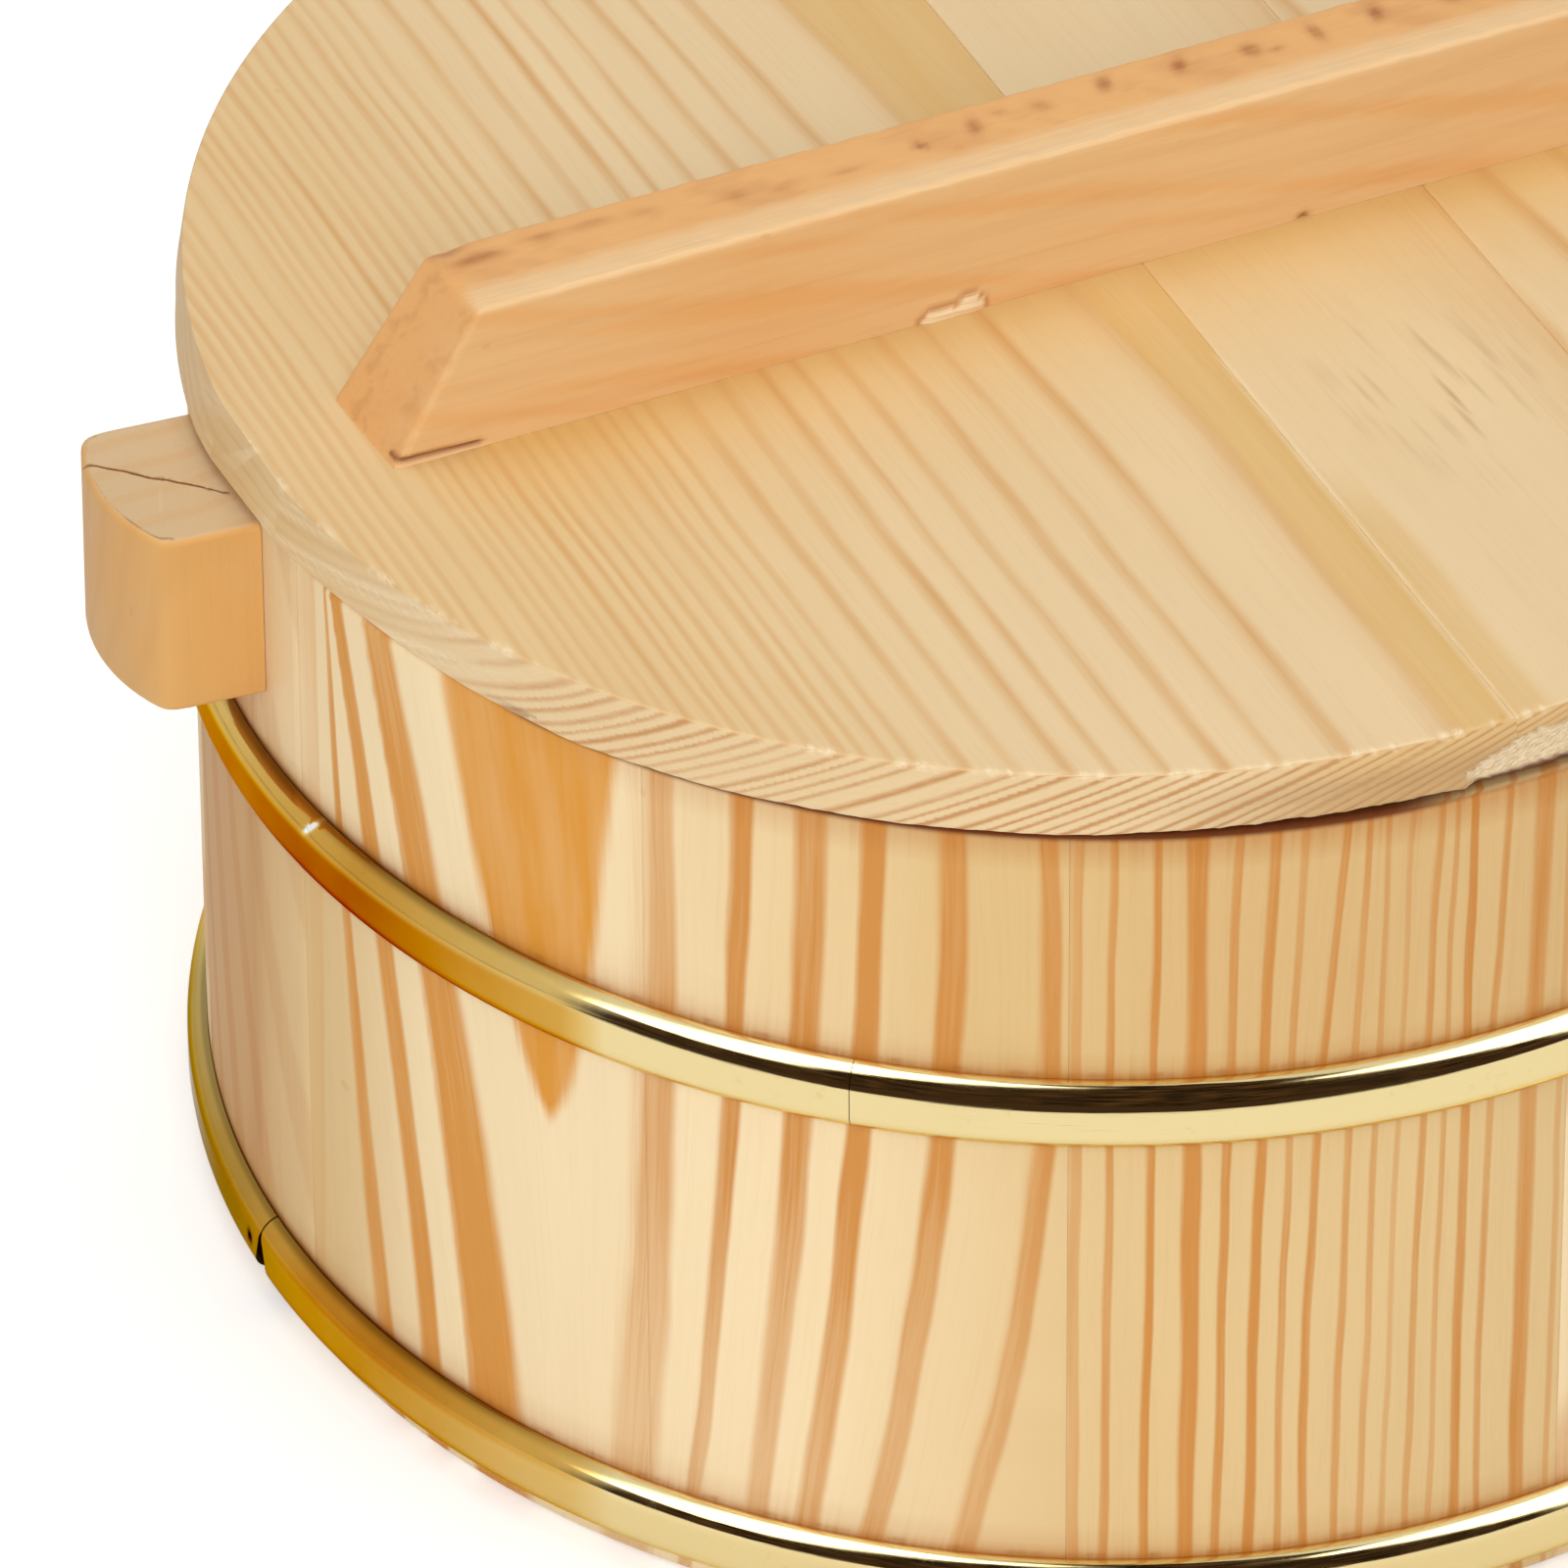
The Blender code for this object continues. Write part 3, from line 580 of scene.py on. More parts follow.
def stave_cutters(number, start, end):
    """Mortises for the grate's bars, and holes for the ears' dowels."""
    cutters = []
    low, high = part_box("grate_bar_front")
    far = math.sqrt((INNER_RADIUS + TENON_DEPTH) ** 2 - BAR_MIDDLE ** 2)
    sides = [BAR_MIDDLE + edge * (BAR_HALF_WIDTH + GAP) for edge in (-1, 1)]
    for side_x, side_y in ((-1, -1), (-1, 1), (1, -1), (1, 1)):
        angles = [math.atan2(side_y * y, side_x * math.sqrt(INNER_RADIUS ** 2 - y ** 2)) for y in sides]
        if any(start < angle + turn < end for angle in angles for turn in (0, 2 * math.pi)):
            cutters.append(box("cutter", (side_x * 0.09, side_y * sides[0], low.z - GAP),
                               (side_x * far, side_y * sides[1], high.z + GAP)))
    for stave_of_ear, side, direction in ((RIGHT_EAR_STAVE, "right", 1), (LEFT_EAR_STAVE, "left", -1)):
        for level in ("upper", "lower") if number == stave_of_ear else ():
            low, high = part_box(f"ear_{side}_dowel_{level}")
            radius = (high.z - low.z) / 2 + GAP
            cutters.append(turned("cutter", [(radius, 0.0), (radius, 0.04)], direction, 0.1,
                                  (low.z + high.z) / 2, steps=32))
    return cutters


def front_grain(number, degrees, depth, z):
    """Grain of a front stave: listed bands, and the flame of a ring cut nearly flat."""
    centre = FLAME_TIP_ANGLE + (FLAME_RIM_ANGLE - FLAME_TIP_ANGLE) * smooth(FLAME_TIP_Z, GRAIN_RIM_Z, z)
    offset = (degrees - centre) * WALL_ARC
    spread = np.sign(offset) * np.sqrt(np.clip(
        offset ** 2 + (FLAME_DEPTH - depth) ** 2 - FLAME_DEPTH ** 2, 0, None))
    at_face = np.where(depth > 2.5, centre + spread / WALL_ARC, degrees)
    at_face = at_face + 0.10 * wobble(z / 21 + at_face / 4, 5)
    is_fine = number == FINE_STAVE
    ring, late, at_rim = band_grain(RIGHT_BANDS if is_fine else LEFT_BANDS, at_face, z)
    # The first term deepens the ground higher up the wall: painted shade under the lid
    tone = 0.5 * smooth(80, 110, z) * smooth(217, 229, at_face) + 0.85 * smooth(226, 254, at_face)
    by_ear = (0.9 - 0.75 * smooth(95, 104, z)) * smooth(206, 193, at_face)
    heart = -9.0
    if not is_fine:
        share = np.clip((z - FLAME_TIP_Z) / (GRAIN_RIM_Z - FLAME_TIP_Z), 0, None)
        wide = np.where(z > FLAME_TIP_Z, FLAME_HALF_WIDTH * share ** 0.62, (z - FLAME_TIP_Z) * 0.12)
        heart = wide - np.abs(at_face - centre)
        late = late * (1 - 0.35 * smooth(88, 25, z) * smooth(209, 219, degrees))
    return {"ring": ring, "fibre": (at_rim * WALL_ARC, depth, z + 400 * is_fine), "late": late,
            "heart": heart, "tint": 1 - 0.6 * smooth(214, 222, at_face),
            "tone": most(np.minimum(tone, 1.0), by_ear)}


def side_grain(number, points, middle, degrees, z):
    """Grain of a stave that the photograph doesn't show, or shows from the side."""
    seed = 40 + 7 * number
    turn = np.array([math.cos(middle), math.sin(middle)])
    across = (points[:, 1] * turn[0] - points[:, 0] * turn[1]) / MM
    inward = (FOOT_RADIUS - points[:, :2] @ turn) / MM
    pith = (18 * math.sin(seed), 38 + 30 * math.sin(seed * 2.7) ** 2)
    lean = (0.05 * math.sin(seed * 1.9), 0.045 * math.sin(seed * 0.7))
    ring = pith_rings(across, inward, z, pith, lean, 2.7 + 0.9 * math.sin(seed * 3.1), seed)
    late, tone = 0.58 + 0.15 * math.sin(seed * 1.1), 0.35 + 0.25 * math.sin(seed)
    if number == LEFT_EAR_STAVE:
        late = 0.45 - 0.2 * smooth(176, 186, degrees)
        # Deeper ground towards the far left: partly the board's own colour, partly painted shade
        tone = 0.8 + 0.2 * smooth(190, 182, degrees) - 0.55 * smooth(95, 104, z)
    return {"ring": ring, "fibre": (across + 61 * number, inward, z + 170 * number), "late": late,
            "tint": 0.5 + 0.5 * math.sin(seed * 1.3), "tone": tone}


def make_stave(number):
    name = f"stave_{number:02d}"
    start, end = stave_span(name)
    is_front = number in FRONT_STAVES
    step = math.radians(FRONT_STEP if is_front else SIDE_STEP)
    hair = HAIR / RIM_RADIUS
    angles = np.linspace(start + hair, end - hair, max(8, round((end - start) / step)) + 1)
    edge = math.radians(0.05)
    angles = np.unique([*angles, angles[0] + edge, angles[-1] - edge])[:, None]
    radius, height = wall_section()
    easing = np.where(radius > (RIM_RADIUS + INNER_RADIUS) / 2, -STAVE_EASE, STAVE_EASE)
    radius = np.tile(radius, (len(angles), 1))
    radius[[0, -1]] += easing
    item = solid("wall_" + name, np.stack([radius * np.cos(angles), radius * np.sin(angles),
                                           np.tile(height, (len(angles), 1))], -1), STAVE_WOOD)
    cutters = stave_cutters(number, start, end)
    if cutters:
        carve(item, cutters)
    shade(item, 50)

    points = points_of(item)
    from_axis, degrees = around(points)
    z = points[:, 2] / MM
    on_face = from_axis > RIM_RADIUS - FACE_SKIN
    uneven = wobble(degrees * 1.3, seed=12)
    # A band just above each hoop: painted glow and shade of the hoop on the wood
    edging = sum(bell(z, top + 0.5, 0.8) for top in HOOP_TOPS)

    # Fades upwards from each hoop's top: painted glow and shade, and painted contact shadow
    def above_hoops(fade):
        return sum(np.exp(-np.clip(z - top, 0, None) / fade) * (z > top - 0.6) for top in HOOP_TOPS)

    # Painted shadow of the lid on the wall's top, and a little painted shade on the right above the upper
    # hoop
    under_lid = 0.5 * smooth(*LID_SHADE_Z, z) + 0.13 * smooth(242, 256, degrees) * smooth(90, 106, z)
    stain = most(above_hoops(EDGING_FADE), edging * (0.7 + 0.3 * uneven),
                 under_lid * span(LID_SHADE_SPAN, degrees))
    if number == LEFT_EAR_STAVE:
        pink_band = 0.25 * bell(degrees + (70 - z) * 0.02, PINK_BAND_ANGLE, 1.4)
        # Darker towards the far left: painted shade where the wall turns from the light; the pink band is the
        # wood's own
        stain = most(stain, 0.5 * smooth(193, 178, degrees) + pink_band)
    # Painted contact shadow above the hoops at the left, painted shade along the hoops' tops, and painted
    # shade behind the lower hoop's gaping seam
    soot = most(0.75 * above_hoops(CONTACT_FADE) * smooth(220, 196, degrees) * smooth(165, 172, degrees),
                0.28 * edging * (0.6 + 0.4 * uneven),
                bell(degrees, LOWER_SEAM, 1.3) * smooth(14.0, 12.0, z))
    # Painted shade under the lid's rim, on the wall's top where the lid gapes
    rim_soot = 0.9 * smooth(*RIM_SOOT_Z, z) * smooth(*RIM_SOOT_RADII, from_axis) * span(OPEN_SPAN, degrees)
    soot = most(soot * on_face, rim_soot * (1 - 0.55 * smooth(266, 272, degrees)))
    if is_front:
        look = front_grain(number, degrees, np.clip(FOOT_RADIUS - from_axis, 0, None) / MM, z)
    else:
        look = side_grain(number, points, (start + end) / 2, degrees, z)
    grain(item, stain=stain * on_face, soot=soot, **look)
    stands_for(item, name, "bucket")


# Hoops
HOOP_CORNER = 0.0036            # rounding of a hoop's outer edges
HOOP_END_TILT = 77.0            # degrees through which each rounding turns before it meets the wall
HOOP_DENT = 0.00003
SEAM_HALF_GAP = 0.00006
SEAM_FADE = 2.5                 # degrees in which a hoop comes back from its gaping seam
TARNISH_ANGLES = (140, 165, 178, 186, 192, 198, 203, 207, 212, 216, 219)
TARNISH = (0.0, 0.15, 0.38, 0.52, 0.82, 0.95, 0.8, 0.62, 0.50, 0.35, 0.0)   # painted warm reflection, as amber, at those angles
SPOT_ANGLE, SPOT_Z = 193.7, 98.2        # a drop of solder on the upper hoop
SPOT_RADIUS, SPOT_HEIGHT = 0.6, 0.00025
NICK_FROM_SEAM = -1.7


def hoop_section(low, high, depth):
    """Section of a hoop, flat with round edges: (distance from the wall, height) from bottom to top."""
    flat = (high - low) / 2 - HOOP_CORNER * math.sin(math.radians(HOOP_END_TILT))
    tuck, drop = rounding(HOOP_CORNER, np.linspace(0, HOOP_END_TILT, 22))
    reach, rise = depth - tuck, flat + HOOP_CORNER - drop
    face = flat * np.linspace(-1, 1, 9)[1:-1]
    return (np.concatenate([reach[::-1], np.full(len(face), depth), reach]),
            np.concatenate([-rise[::-1], face, rise]) + (low + high) / 2)


def make_hoop(name, seam, wedge, on_face, on_top, film=0.0, spot=False):
    """A drawn brass band with slight dents, and a butt seam that gapes at its foot by the wedge.

    on_face and on_top say how much painted warm reflection, as amber, its face and its upper edge
    take, and film how much a painted darker reflection dims its left.
    """
    low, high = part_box(name)
    middle = (low.z + high.z) / 2

    def gap_at(z):
        share = np.clip((middle + 0.0035 - z) / (high.z - low.z), 0, 1)
        return (SEAM_HALF_GAP + wedge * share) / RIM_RADIUS

    turns = [*np.linspace(seam, seam + 360, 901), *(seam + np.linspace(0, 1.2, 13)),
             *(seam + 360 - np.linspace(0, 1.2, 13))]
    if spot:
        turns += [*(SPOT_ANGLE + np.linspace(-0.6, 0.6, 17) + 360 * (SPOT_ANGLE < seam))]
    turns = np.unique(turns)[:, None]
    out, z = hoop_section(low.z, high.z, high.y - wall_radius(middle) - GAP)
    radius = wall_radius(z) + GAP + out + HOOP_DENT * (wobble(np.radians(turns) * 9, 3) - 1)
    if spot:
        across = (turns % 360 - SPOT_ANGLE) * WALL_ARC
        radius += SPOT_HEIGHT * np.exp(-(across ** 2 + (z / MM - SPOT_Z) ** 2) / SPOT_RADIUS ** 2)
    back = np.array([high.z, low.z])
    z = np.tile([*z, *back], (len(turns), 1))
    radius = np.hstack([radius, np.tile(wall_radius(back) + PRESS, (len(turns), 1))])
    shift = gap_at(z) * np.exp(-np.minimum(turns - seam, seam + 360 - turns) / SEAM_FADE)
    angle = np.radians(turns) + np.where(turns < seam + 180, shift, -shift)
    item = solid("band_" + name, np.stack([radius * np.cos(angle), radius * np.sin(angle), z], -1), BRASS)
    shade(item)

    points = points_of(item)
    from_axis, degrees = around(points)
    z = points[:, 2]
    above = smooth(0.002, 0.0032, z - middle)
    # Painted warm reflection on the left, as amber, set apart for the face and the upper edge
    amber = np.interp(degrees, TARNISH_ANGLES, TARNISH) * (on_face + (on_top - on_face) * above)
    elsewhere = 0.10 * (0.5 + 0.5 * wobble(np.radians(degrees) * 2, 7)) * smooth(285, 300, degrees)
    amber = most(amber, elsewhere)
    if spot:
        across = (degrees - SPOT_ANGLE) * WALL_ARC
        up = z / MM - SPOT_Z
        # Painted glint on the drop of solder: below 0 the metal turns brighter than its bright colour
        gleam = bell(across, 0.6 * up, SPOT_RADIUS) * bell(up, 0, 1)
        amber = amber * (1 - gleam) - 0.9 * gleam
    # Painted contact shade along the upper edge by the wall, and on the left a painted darker reflection
    near_wall = smooth(0.0019, 0.0006, from_axis - wall_radius(z)) * (z > middle)
    grime = most(0.7 * near_wall, film * smooth(192, 180, degrees))
    grime = grime * smooth(222, 206, degrees) * smooth(150, 162, degrees)
    if wedge:
        # Painted shade in the seam's gap and in a notch beside it
        cut_end = np.abs(degrees - seam) < np.degrees(gap_at(z)) + 0.06
        nick = bell(degrees, seam + NICK_FROM_SEAM, 0.5) * bell((z - middle) / MM, 0, 1.6)
        grime = most(grime, 1.15 * most(cut_end, nick))
    write(item, tarnish=amber, grime=grime)
    stands_for(item, name, "bucket")


def near_rows(half, count=40):
    """Places along a chord of a disc, from end to end, close together near both ends."""
    steps = np.array([0.0, 0.0003, 0.0007, 0.0012, 0.0019, 0.0029, 0.0044, 0.0065]) * min(1.0, half / 0.02)
    inside = np.linspace(-(half - steps[-1]), half - steps[-1], count)
    return np.concatenate([-(half - steps[:-1]), inside, (half - steps[:-1])[::-1]])


def strip_in_disc(name, start, end, radius, low, high, edge, material, step=0.6, seam=None, walls=5):
    """The strip from x = start to x = end of a flat disc, with all its edges rounded.

    edge is the rounding round the disc and seam that along the cuts; step is in degrees round the
    disc, and walls counts the points up its side.
    """
    seam = seam or edge
    limit = radius * math.cos(math.radians(step))
    first, last = max(start, -limit), min(end, limit)
    turns = np.arange(math.degrees(math.acos(-first / radius)), math.degrees(math.acos(-last / radius)), step)
    inside = -radius * np.cos(np.radians(turns[1:-1]))
    columns = [(first, seam), (first + 0.35 * seam, 0.25 * seam)] if start > -limit else []
    columns += [(x, 0.0) for x in inside if first + seam < x < last - seam]
    columns += [(last - 0.35 * seam, 0.25 * seam), (last, seam)] if end < limit else []
    near_wall, near_face = rounding(1.0, [0, 22.5, 45, 67.5, 90])
    sides = np.linspace(0, 1, walls + 2)[1:-1]
    sections = []
    for x, drop in columns:
        chord = math.sqrt(max(radius ** 2 - x ** 2, 1e-8))
        soft = min(edge, 0.45 * chord)
        bottom, top = low + drop * 0.5, high - drop * 0.5
        flat = near_rows(chord - soft)
        y = [*flat, *(chord - soft * near_face[1:]), *np.full(walls, chord), *(chord - soft * near_wall)]
        z = [*np.full(len(flat), bottom), *(bottom + soft * near_wall[1:]),
             *(bottom + soft + (top - bottom - 2 * soft) * sides), *(top - soft * near_face)]
        half = np.stack([np.full(len(y), x), y, z], 1)
        other = (x, 0, bottom + top) + half[1:-1] * (0, -1, -1)
        sections.append([*half, *other])
    return solid(name, sections, material)


# The lid's dark lines, read from the photograph in front of its handle: millimetres along
# the handle from the lid's centre, width, and how dark each is
LID_LINES = (
    (-112.6, 0.7, 0.5), (-108.9, 0.7, 0.6), (-107.0, 0.5, 0.5), (-105.1, 0.6, 0.6), (-102.6, 0.7, 0.5),
    (-100.8, 0.5, 0.5), (-98.5, 0.8, 1.0), (-95.8, 0.6, 0.6), (-93.9, 0.6, 0.7), (-91.4, 0.6, 0.6),
    (-88.9, 0.7, 0.6), (-86.4, 0.6, 0.5), (-83.0, 0.9, 0.7), (-80.8, 0.6, 0.6), (-78.0, 0.7, 0.6),
    (-75.1, 0.8, 0.6), (-69.5, 1.2, 0.8), (-63.9, 1.0, 0.7), (-57.4, 1.4, 1.0), (-52.3, 1.0, 0.7),
    (-45.8, 1.1, 0.7), (-38.3, 1.5, 0.95), (-31.4, 1.1, 0.7), (-22.3, 1.8, 1.0), (-7.4, 2.2, 0.55),
    (45.6, 2.2, 0.9), (58.5, 2.0, 0.9),
)
# How far the foot of the lid's rim stands in: angle and millimetres
RIM_TUCK_ANGLES = (135, 148, 155, 163, 170, 177, 187, 194, 200, 206, 211, 217)
RIM_TUCK = (0.0, 0.1, 0.9, 1.3, 0.7, 0.2, 1.0, 1.7, 2.0, 1.7, 1.2, 0.2)
RIM_LINE_SPACING = 3.9          # of the extra lines that the rim shows between those of the top
RIM_LINES_START = -76           # left of it the lines are already that close
GRAIN_SHIFT = (-0.9, 2.4)       # of the grain read from the photograph, against the lid's own centre
CHIP_SPAN = (209, 216, 330, 345)
FRAYED_SPAN = (181, 185, 214, 218)
TEAR_START, TEAR_END, TEAR_DEPTH = 272.0, (279.5, 281), 0.0007
SCAR = (-27.0, -12.0)           # a torn patch beside the handle
MOTTLED = (26, -56)             # bird's-eye figure in the middle plank
SPECK = (-51.5, 68.1)


def lid_warp(points):
    """The lid's rim: leaning in towards the top, chipped below and torn at one place."""
    x, y, z = points.T
    radius, degrees = around(points, LID_TURN)
    rise = (z - LID_LOW) / (LID_TOP - LID_LOW)
    arc = degrees * LID_ARC
    near = smooth(LID_RADIUS - 0.02, LID_RADIUS, radius)
    tuck = np.minimum(np.interp(degrees, RIM_TUCK_ANGLES, RIM_TUCK) * MM * (1 - rise), LID_RIM_SLANT)
    target = LID_RADIUS - LID_RIM_SLANT * rise - tuck
    chord = np.sqrt(np.clip(LID_RADIUS ** 2 - x ** 2, 1e-9, None))
    new_chord = np.sqrt(np.clip(target ** 2 - x ** 2, 1e-9, None))
    straight = 1 - (1 - new_chord / chord) * near
    radial = 1 - (1 - target / LID_RADIUS) * near
    share = smooth(0.55, 0.75, np.abs(x) / LID_RADIUS)

    ragged = 0.62 + 0.3 * wobble(arc / 6.1, 4) + 0.22 * wobble(arc / 1.9, 12)
    chip = np.clip(0.15 + ragged + 0.55 * bell(degrees, 268, 3.2) + 0.35 * bell(degrees, 260, 3.0), 0.12, 1.5)
    chip = chip * MM * span(CHIP_SPAN, degrees) * (0.45 + 0.55 * smooth(248, 258, degrees))
    chip = chip * np.clip(1 - rise / 0.35, 0, 1) * smooth(LID_RADIUS - 0.008, LID_RADIUS - 0.003, radius)

    tear_edge = TEAR_START + 3.52 * smooth(0.2, 0.75, rise) + 0.5 * wobble(rise * 9, 3)
    tear = smooth(0.0, 0.5, degrees - tear_edge) * (1 - smooth(*TEAR_END, degrees))
    tear *= 1 - smooth(0.62, 0.72, rise + 0.06 * wobble(arc / 1.4, 9))
    tear *= smooth(LID_RADIUS - 0.0035, LID_RADIUS - 0.001, radius)
    pull = 1 - TEAR_DEPTH * tear * (1 + 0.35 * wobble(arc / 0.8 + rise * 11, 6)) / LID_RADIUS
    return np.stack([x * (1 + (radial - 1) * share) * pull,
                     y * (straight + (radial - straight) * share) * pull, z + chip], 1), tear


def lid_grain(item, board, tear):
    """Growth rings of the lid's planks, which bend towards the back and lie nearly flat in the board."""
    points = points_of(item) / MM
    plain_x, plain_y, plain_z = points.T
    x, y = plain_x + GRAIN_SHIFT[0], plain_y + GRAIN_SHIFT[1]
    depth = LID_TOP / MM - plain_z
    radius, degrees = around(points, LID_TURN)
    arc = degrees * LID_ARC
    is_middle = board == "middle"
    lines = [*[(place, 0.7, 0.6) for place in np.arange(-200.0, -114.0, 2.1)], *LID_LINES,
             *[(place, 1.4, 0.7) for place in np.arange(70.0, 240.0, 8.0)]]
    middle, width, dark = np.array(lines).T
    width = width * 1.3 + 0.75
    bend = np.interp(x, [-60, -38, -22, -7, 60], [0.0, 0.05, 0.09, 0.135, 0.15])
    back = np.where(y > -60, (y + 60) ** 2 / (np.abs(y + 60) + 45), 0.0)
    slope = np.interp(x + 2.0 * depth, [-125, -100, -60, 0, 40], [0.8, 1.2, 2.2, 3.4, 3.8])
    at_top = x + bend * back + 0.35 * wobble(y / 27 + x / 40, 8) + slope * depth
    if is_middle:
        at_top = x + 0.02 * y + 4.0 * depth
    late = np.interp(at_top, middle, dark) * (0.9 + 0.25 * wobble(plain_y / 17 + at_top / 6, 31))

    # Deeper, more golden ground just in front of the handle: painted warm bounce light from the handle
    before = np.clip(-plain_y - 12, 0, None)
    tone = np.exp(-before / 15) * (plain_y < 0) * smooth(-118, -90, x) * (np.abs(x) < 116)
    tone = np.clip(tone + 0.36 * smooth(-50, -105, x) + 0.05 * wobble(x / 19 + y / 33, 8), 0, 1)
    heartwood = smooth(-9.2, -6.4, at_top) * (board == "left")
    if is_middle:
        heartwood = 0.7 * smooth(8.2, 5.6, x + 1.3 * wobble(y / 40, 2)) * smooth(-60, -82, y)
    tone = most(tone, heartwood * (0.85 + 0.15 * wobble(x / 1.7, 3)))
    rim = (LID_RADIUS - LID_RIM_SLANT) / MM
    on_rim = (radius > rim - 0.3) & (depth > 0.3)
    on_top = depth < 0.5
    rim_tone = 0.05 + 0.45 * smooth(212, 190, degrees) + 0.65 * smooth(256, 268, degrees)

    # Painted shade along the lid's underside at its rim, where it gapes over the wall
    lower_edge = smooth(LID_LOW / MM + 2.0, LID_LOW / MM + 1.0, plain_z) * span(OPEN_SPAN, degrees)
    lower_edge = lower_edge * (radius < LID_RADIUS / MM - 0.8) * (radius > 121)
    # Painted highlight along the top edge, with pale sanded fibres
    edge_light = bell(radius, rim - 0.3, 0.7) * (depth < 1.0)
    ragged = smooth(0.1, 0.7, wobble(arc / 3.3, 21) + 0.7 * wobble(arc / 0.9, 5))
    frayed = span(FRAYED_SPAN, degrees) + smooth(228, 232, degrees)
    left_rim = on_rim * smooth(214, 206, degrees) * smooth(172, 182, degrees)
    fibres = smooth(-0.2, 0.7, wobble(arc / 5.2 + depth / 1.1, 8, 5))
    scar = np.exp(-((plain_x - SCAR[0]) / 4.2) ** 4) * bell(plain_y, SCAR[1], 1.5) * on_top
    joint = bell(plain_x, MIDDLE_PLANK_START / MM, 0.35) * (plain_y < -38) * on_top
    bare = most(0.8 * edge_light * ragged * frayed, 0.9 * tear, 0.6 * left_rim * fibres,
                smooth(0.35, 0.6, scar), 0.6 * joint)

    curls = smooth(0.16, 0.02, np.abs(wobble(x / 4.1 + 1.4 * wobble(y / 5, 3), 9) + wobble(y / 3.7, 4)))
    mottled = bell(plain_x, MOTTLED[0], 12) * bell(plain_y, MOTTLED[1], 15) * is_middle
    speck = np.exp(-((plain_x - SPECK[0]) ** 2 + (plain_y - SPECK[1]) ** 2) / 0.8)
    stain = most(0.75 * curls * mottled, speck, 0.4 * smooth(0.12, 0.3, scar) * smooth(0.5, 0.35, scar))
    stain = np.where(on_rim, 0.6 * smooth(250, 266, degrees) * smooth(1.0, 5.0, depth), stain * on_top)

    between = []
    for start, gap in zip(middle, np.diff(middle)):
        parts = round(gap / RIM_LINE_SPACING) if start > RIM_LINES_START else 1
        between += [(start + gap * share / parts, 1.6, 0.8) for share in range(1, parts)]
    rim_middle, rim_width, rim_dark = np.array(sorted([*zip(middle, width, dark), *between])).T
    rim_late = np.interp(at_top, rim_middle, rim_dark) * (1 + 0.3 * wobble(at_top / 5, 12))
    rim_late = rim_late * (0.35 + 0.95 * smooth(203, 216, degrees))
    ring = np.where(on_rim, line_rings(at_top, rim_middle, rim_width), line_rings(at_top, middle, width))
    shift = {"left": 0, "middle": 1, "right": 2}[board]
    grain(item, ring, (at_top + 90 * shift, depth, y + 333 * shift), np.where(on_rim, rim_late, 0.8 * late),
          stain=stain, tint=np.where(on_rim, 0.1, 0.8), tone=np.where(on_rim, rim_tone, tone), bare=bare,
          soot=(0.5 + 0.4 * smooth(248, 258, degrees)) * lower_edge)


LID_FRAME = Matrix.Translation((*LID_PLACE, 0)) @ spin('Z', LID_TURN)
BATTEN_FRAME = LID_FRAME @ Matrix.Translation((0, -BATTEN_FORWARD, 0)) @ spin('Z', BATTEN_TURN)


def make_lid():
    edges = (-1.0, MIDDLE_PLANK_START, MIDDLE_PLANK_START + MIDDLE_PLANK_WIDTH, 1.0)
    for board, start, end in zip(("left", "middle", "right"), edges, edges[1:]):
        item = strip_in_disc("board_lid_" + board, start + HAIR, end - HAIR, LID_RADIUS, LID_LOW,
                             LID_TOP, LID_ROUND, LID_WOOD, step=0.3, seam=LID_SEAM, walls=14)
        points, tear = lid_warp(points_of(item))
        move_points(item, points)
        shade(item)
        lid_grain(item, board, tear)
        item.data.transform(LID_FRAME)
        stands_for(item, f"lid_plank_{board}", "lid")


def four_corners(front_reach, back_reach, front, back, z):
    """Corners of a bar along X at one height, with its own reach to both sides in front and behind."""
    return [(-front_reach, front, z), (front_reach, front, z), (back_reach, back, z), (-back_reach, back, z)]


def block(name, lower, upper, edge, cuts, material, sharp_foot=False):
    """A block between four lower and four upper corners, with rounded edges and cuts along its axes."""
    bm = bmesh.new()
    made = [bm.verts.new(corner) for corner in [*lower, *upper]]
    for face in ((3, 2, 1, 0), (4, 5, 6, 7), (0, 1, 5, 4), (1, 2, 6, 5), (2, 3, 7, 6), (3, 0, 4, 7)):
        bm.faces.new([made[index] for index in face])
    rounded = [e for e in bm.edges if not (sharp_foot and all(v.co.z == made[0].co.z for v in e.verts))]
    bmesh.ops.bevel(bm, geom=rounded, offset=edge, segments=4, profile=0.5, affect='EDGES')
    for axis, places in enumerate(cuts):
        normal = Vector([float(axis == index) for index in range(3)])
        for value in places:
            bmesh.ops.bisect_plane(bm, geom=[*bm.verts, *bm.edges, *bm.faces], dist=1e-7,
                                   plane_co=normal * value, plane_no=normal)
    bmesh.ops.recalc_face_normals(bm, faces=bm.faces)
    mesh = bpy.data.meshes.new(name)
    bm.to_mesh(mesh)
    bm.free()
    return add_object(name, mesh, material)


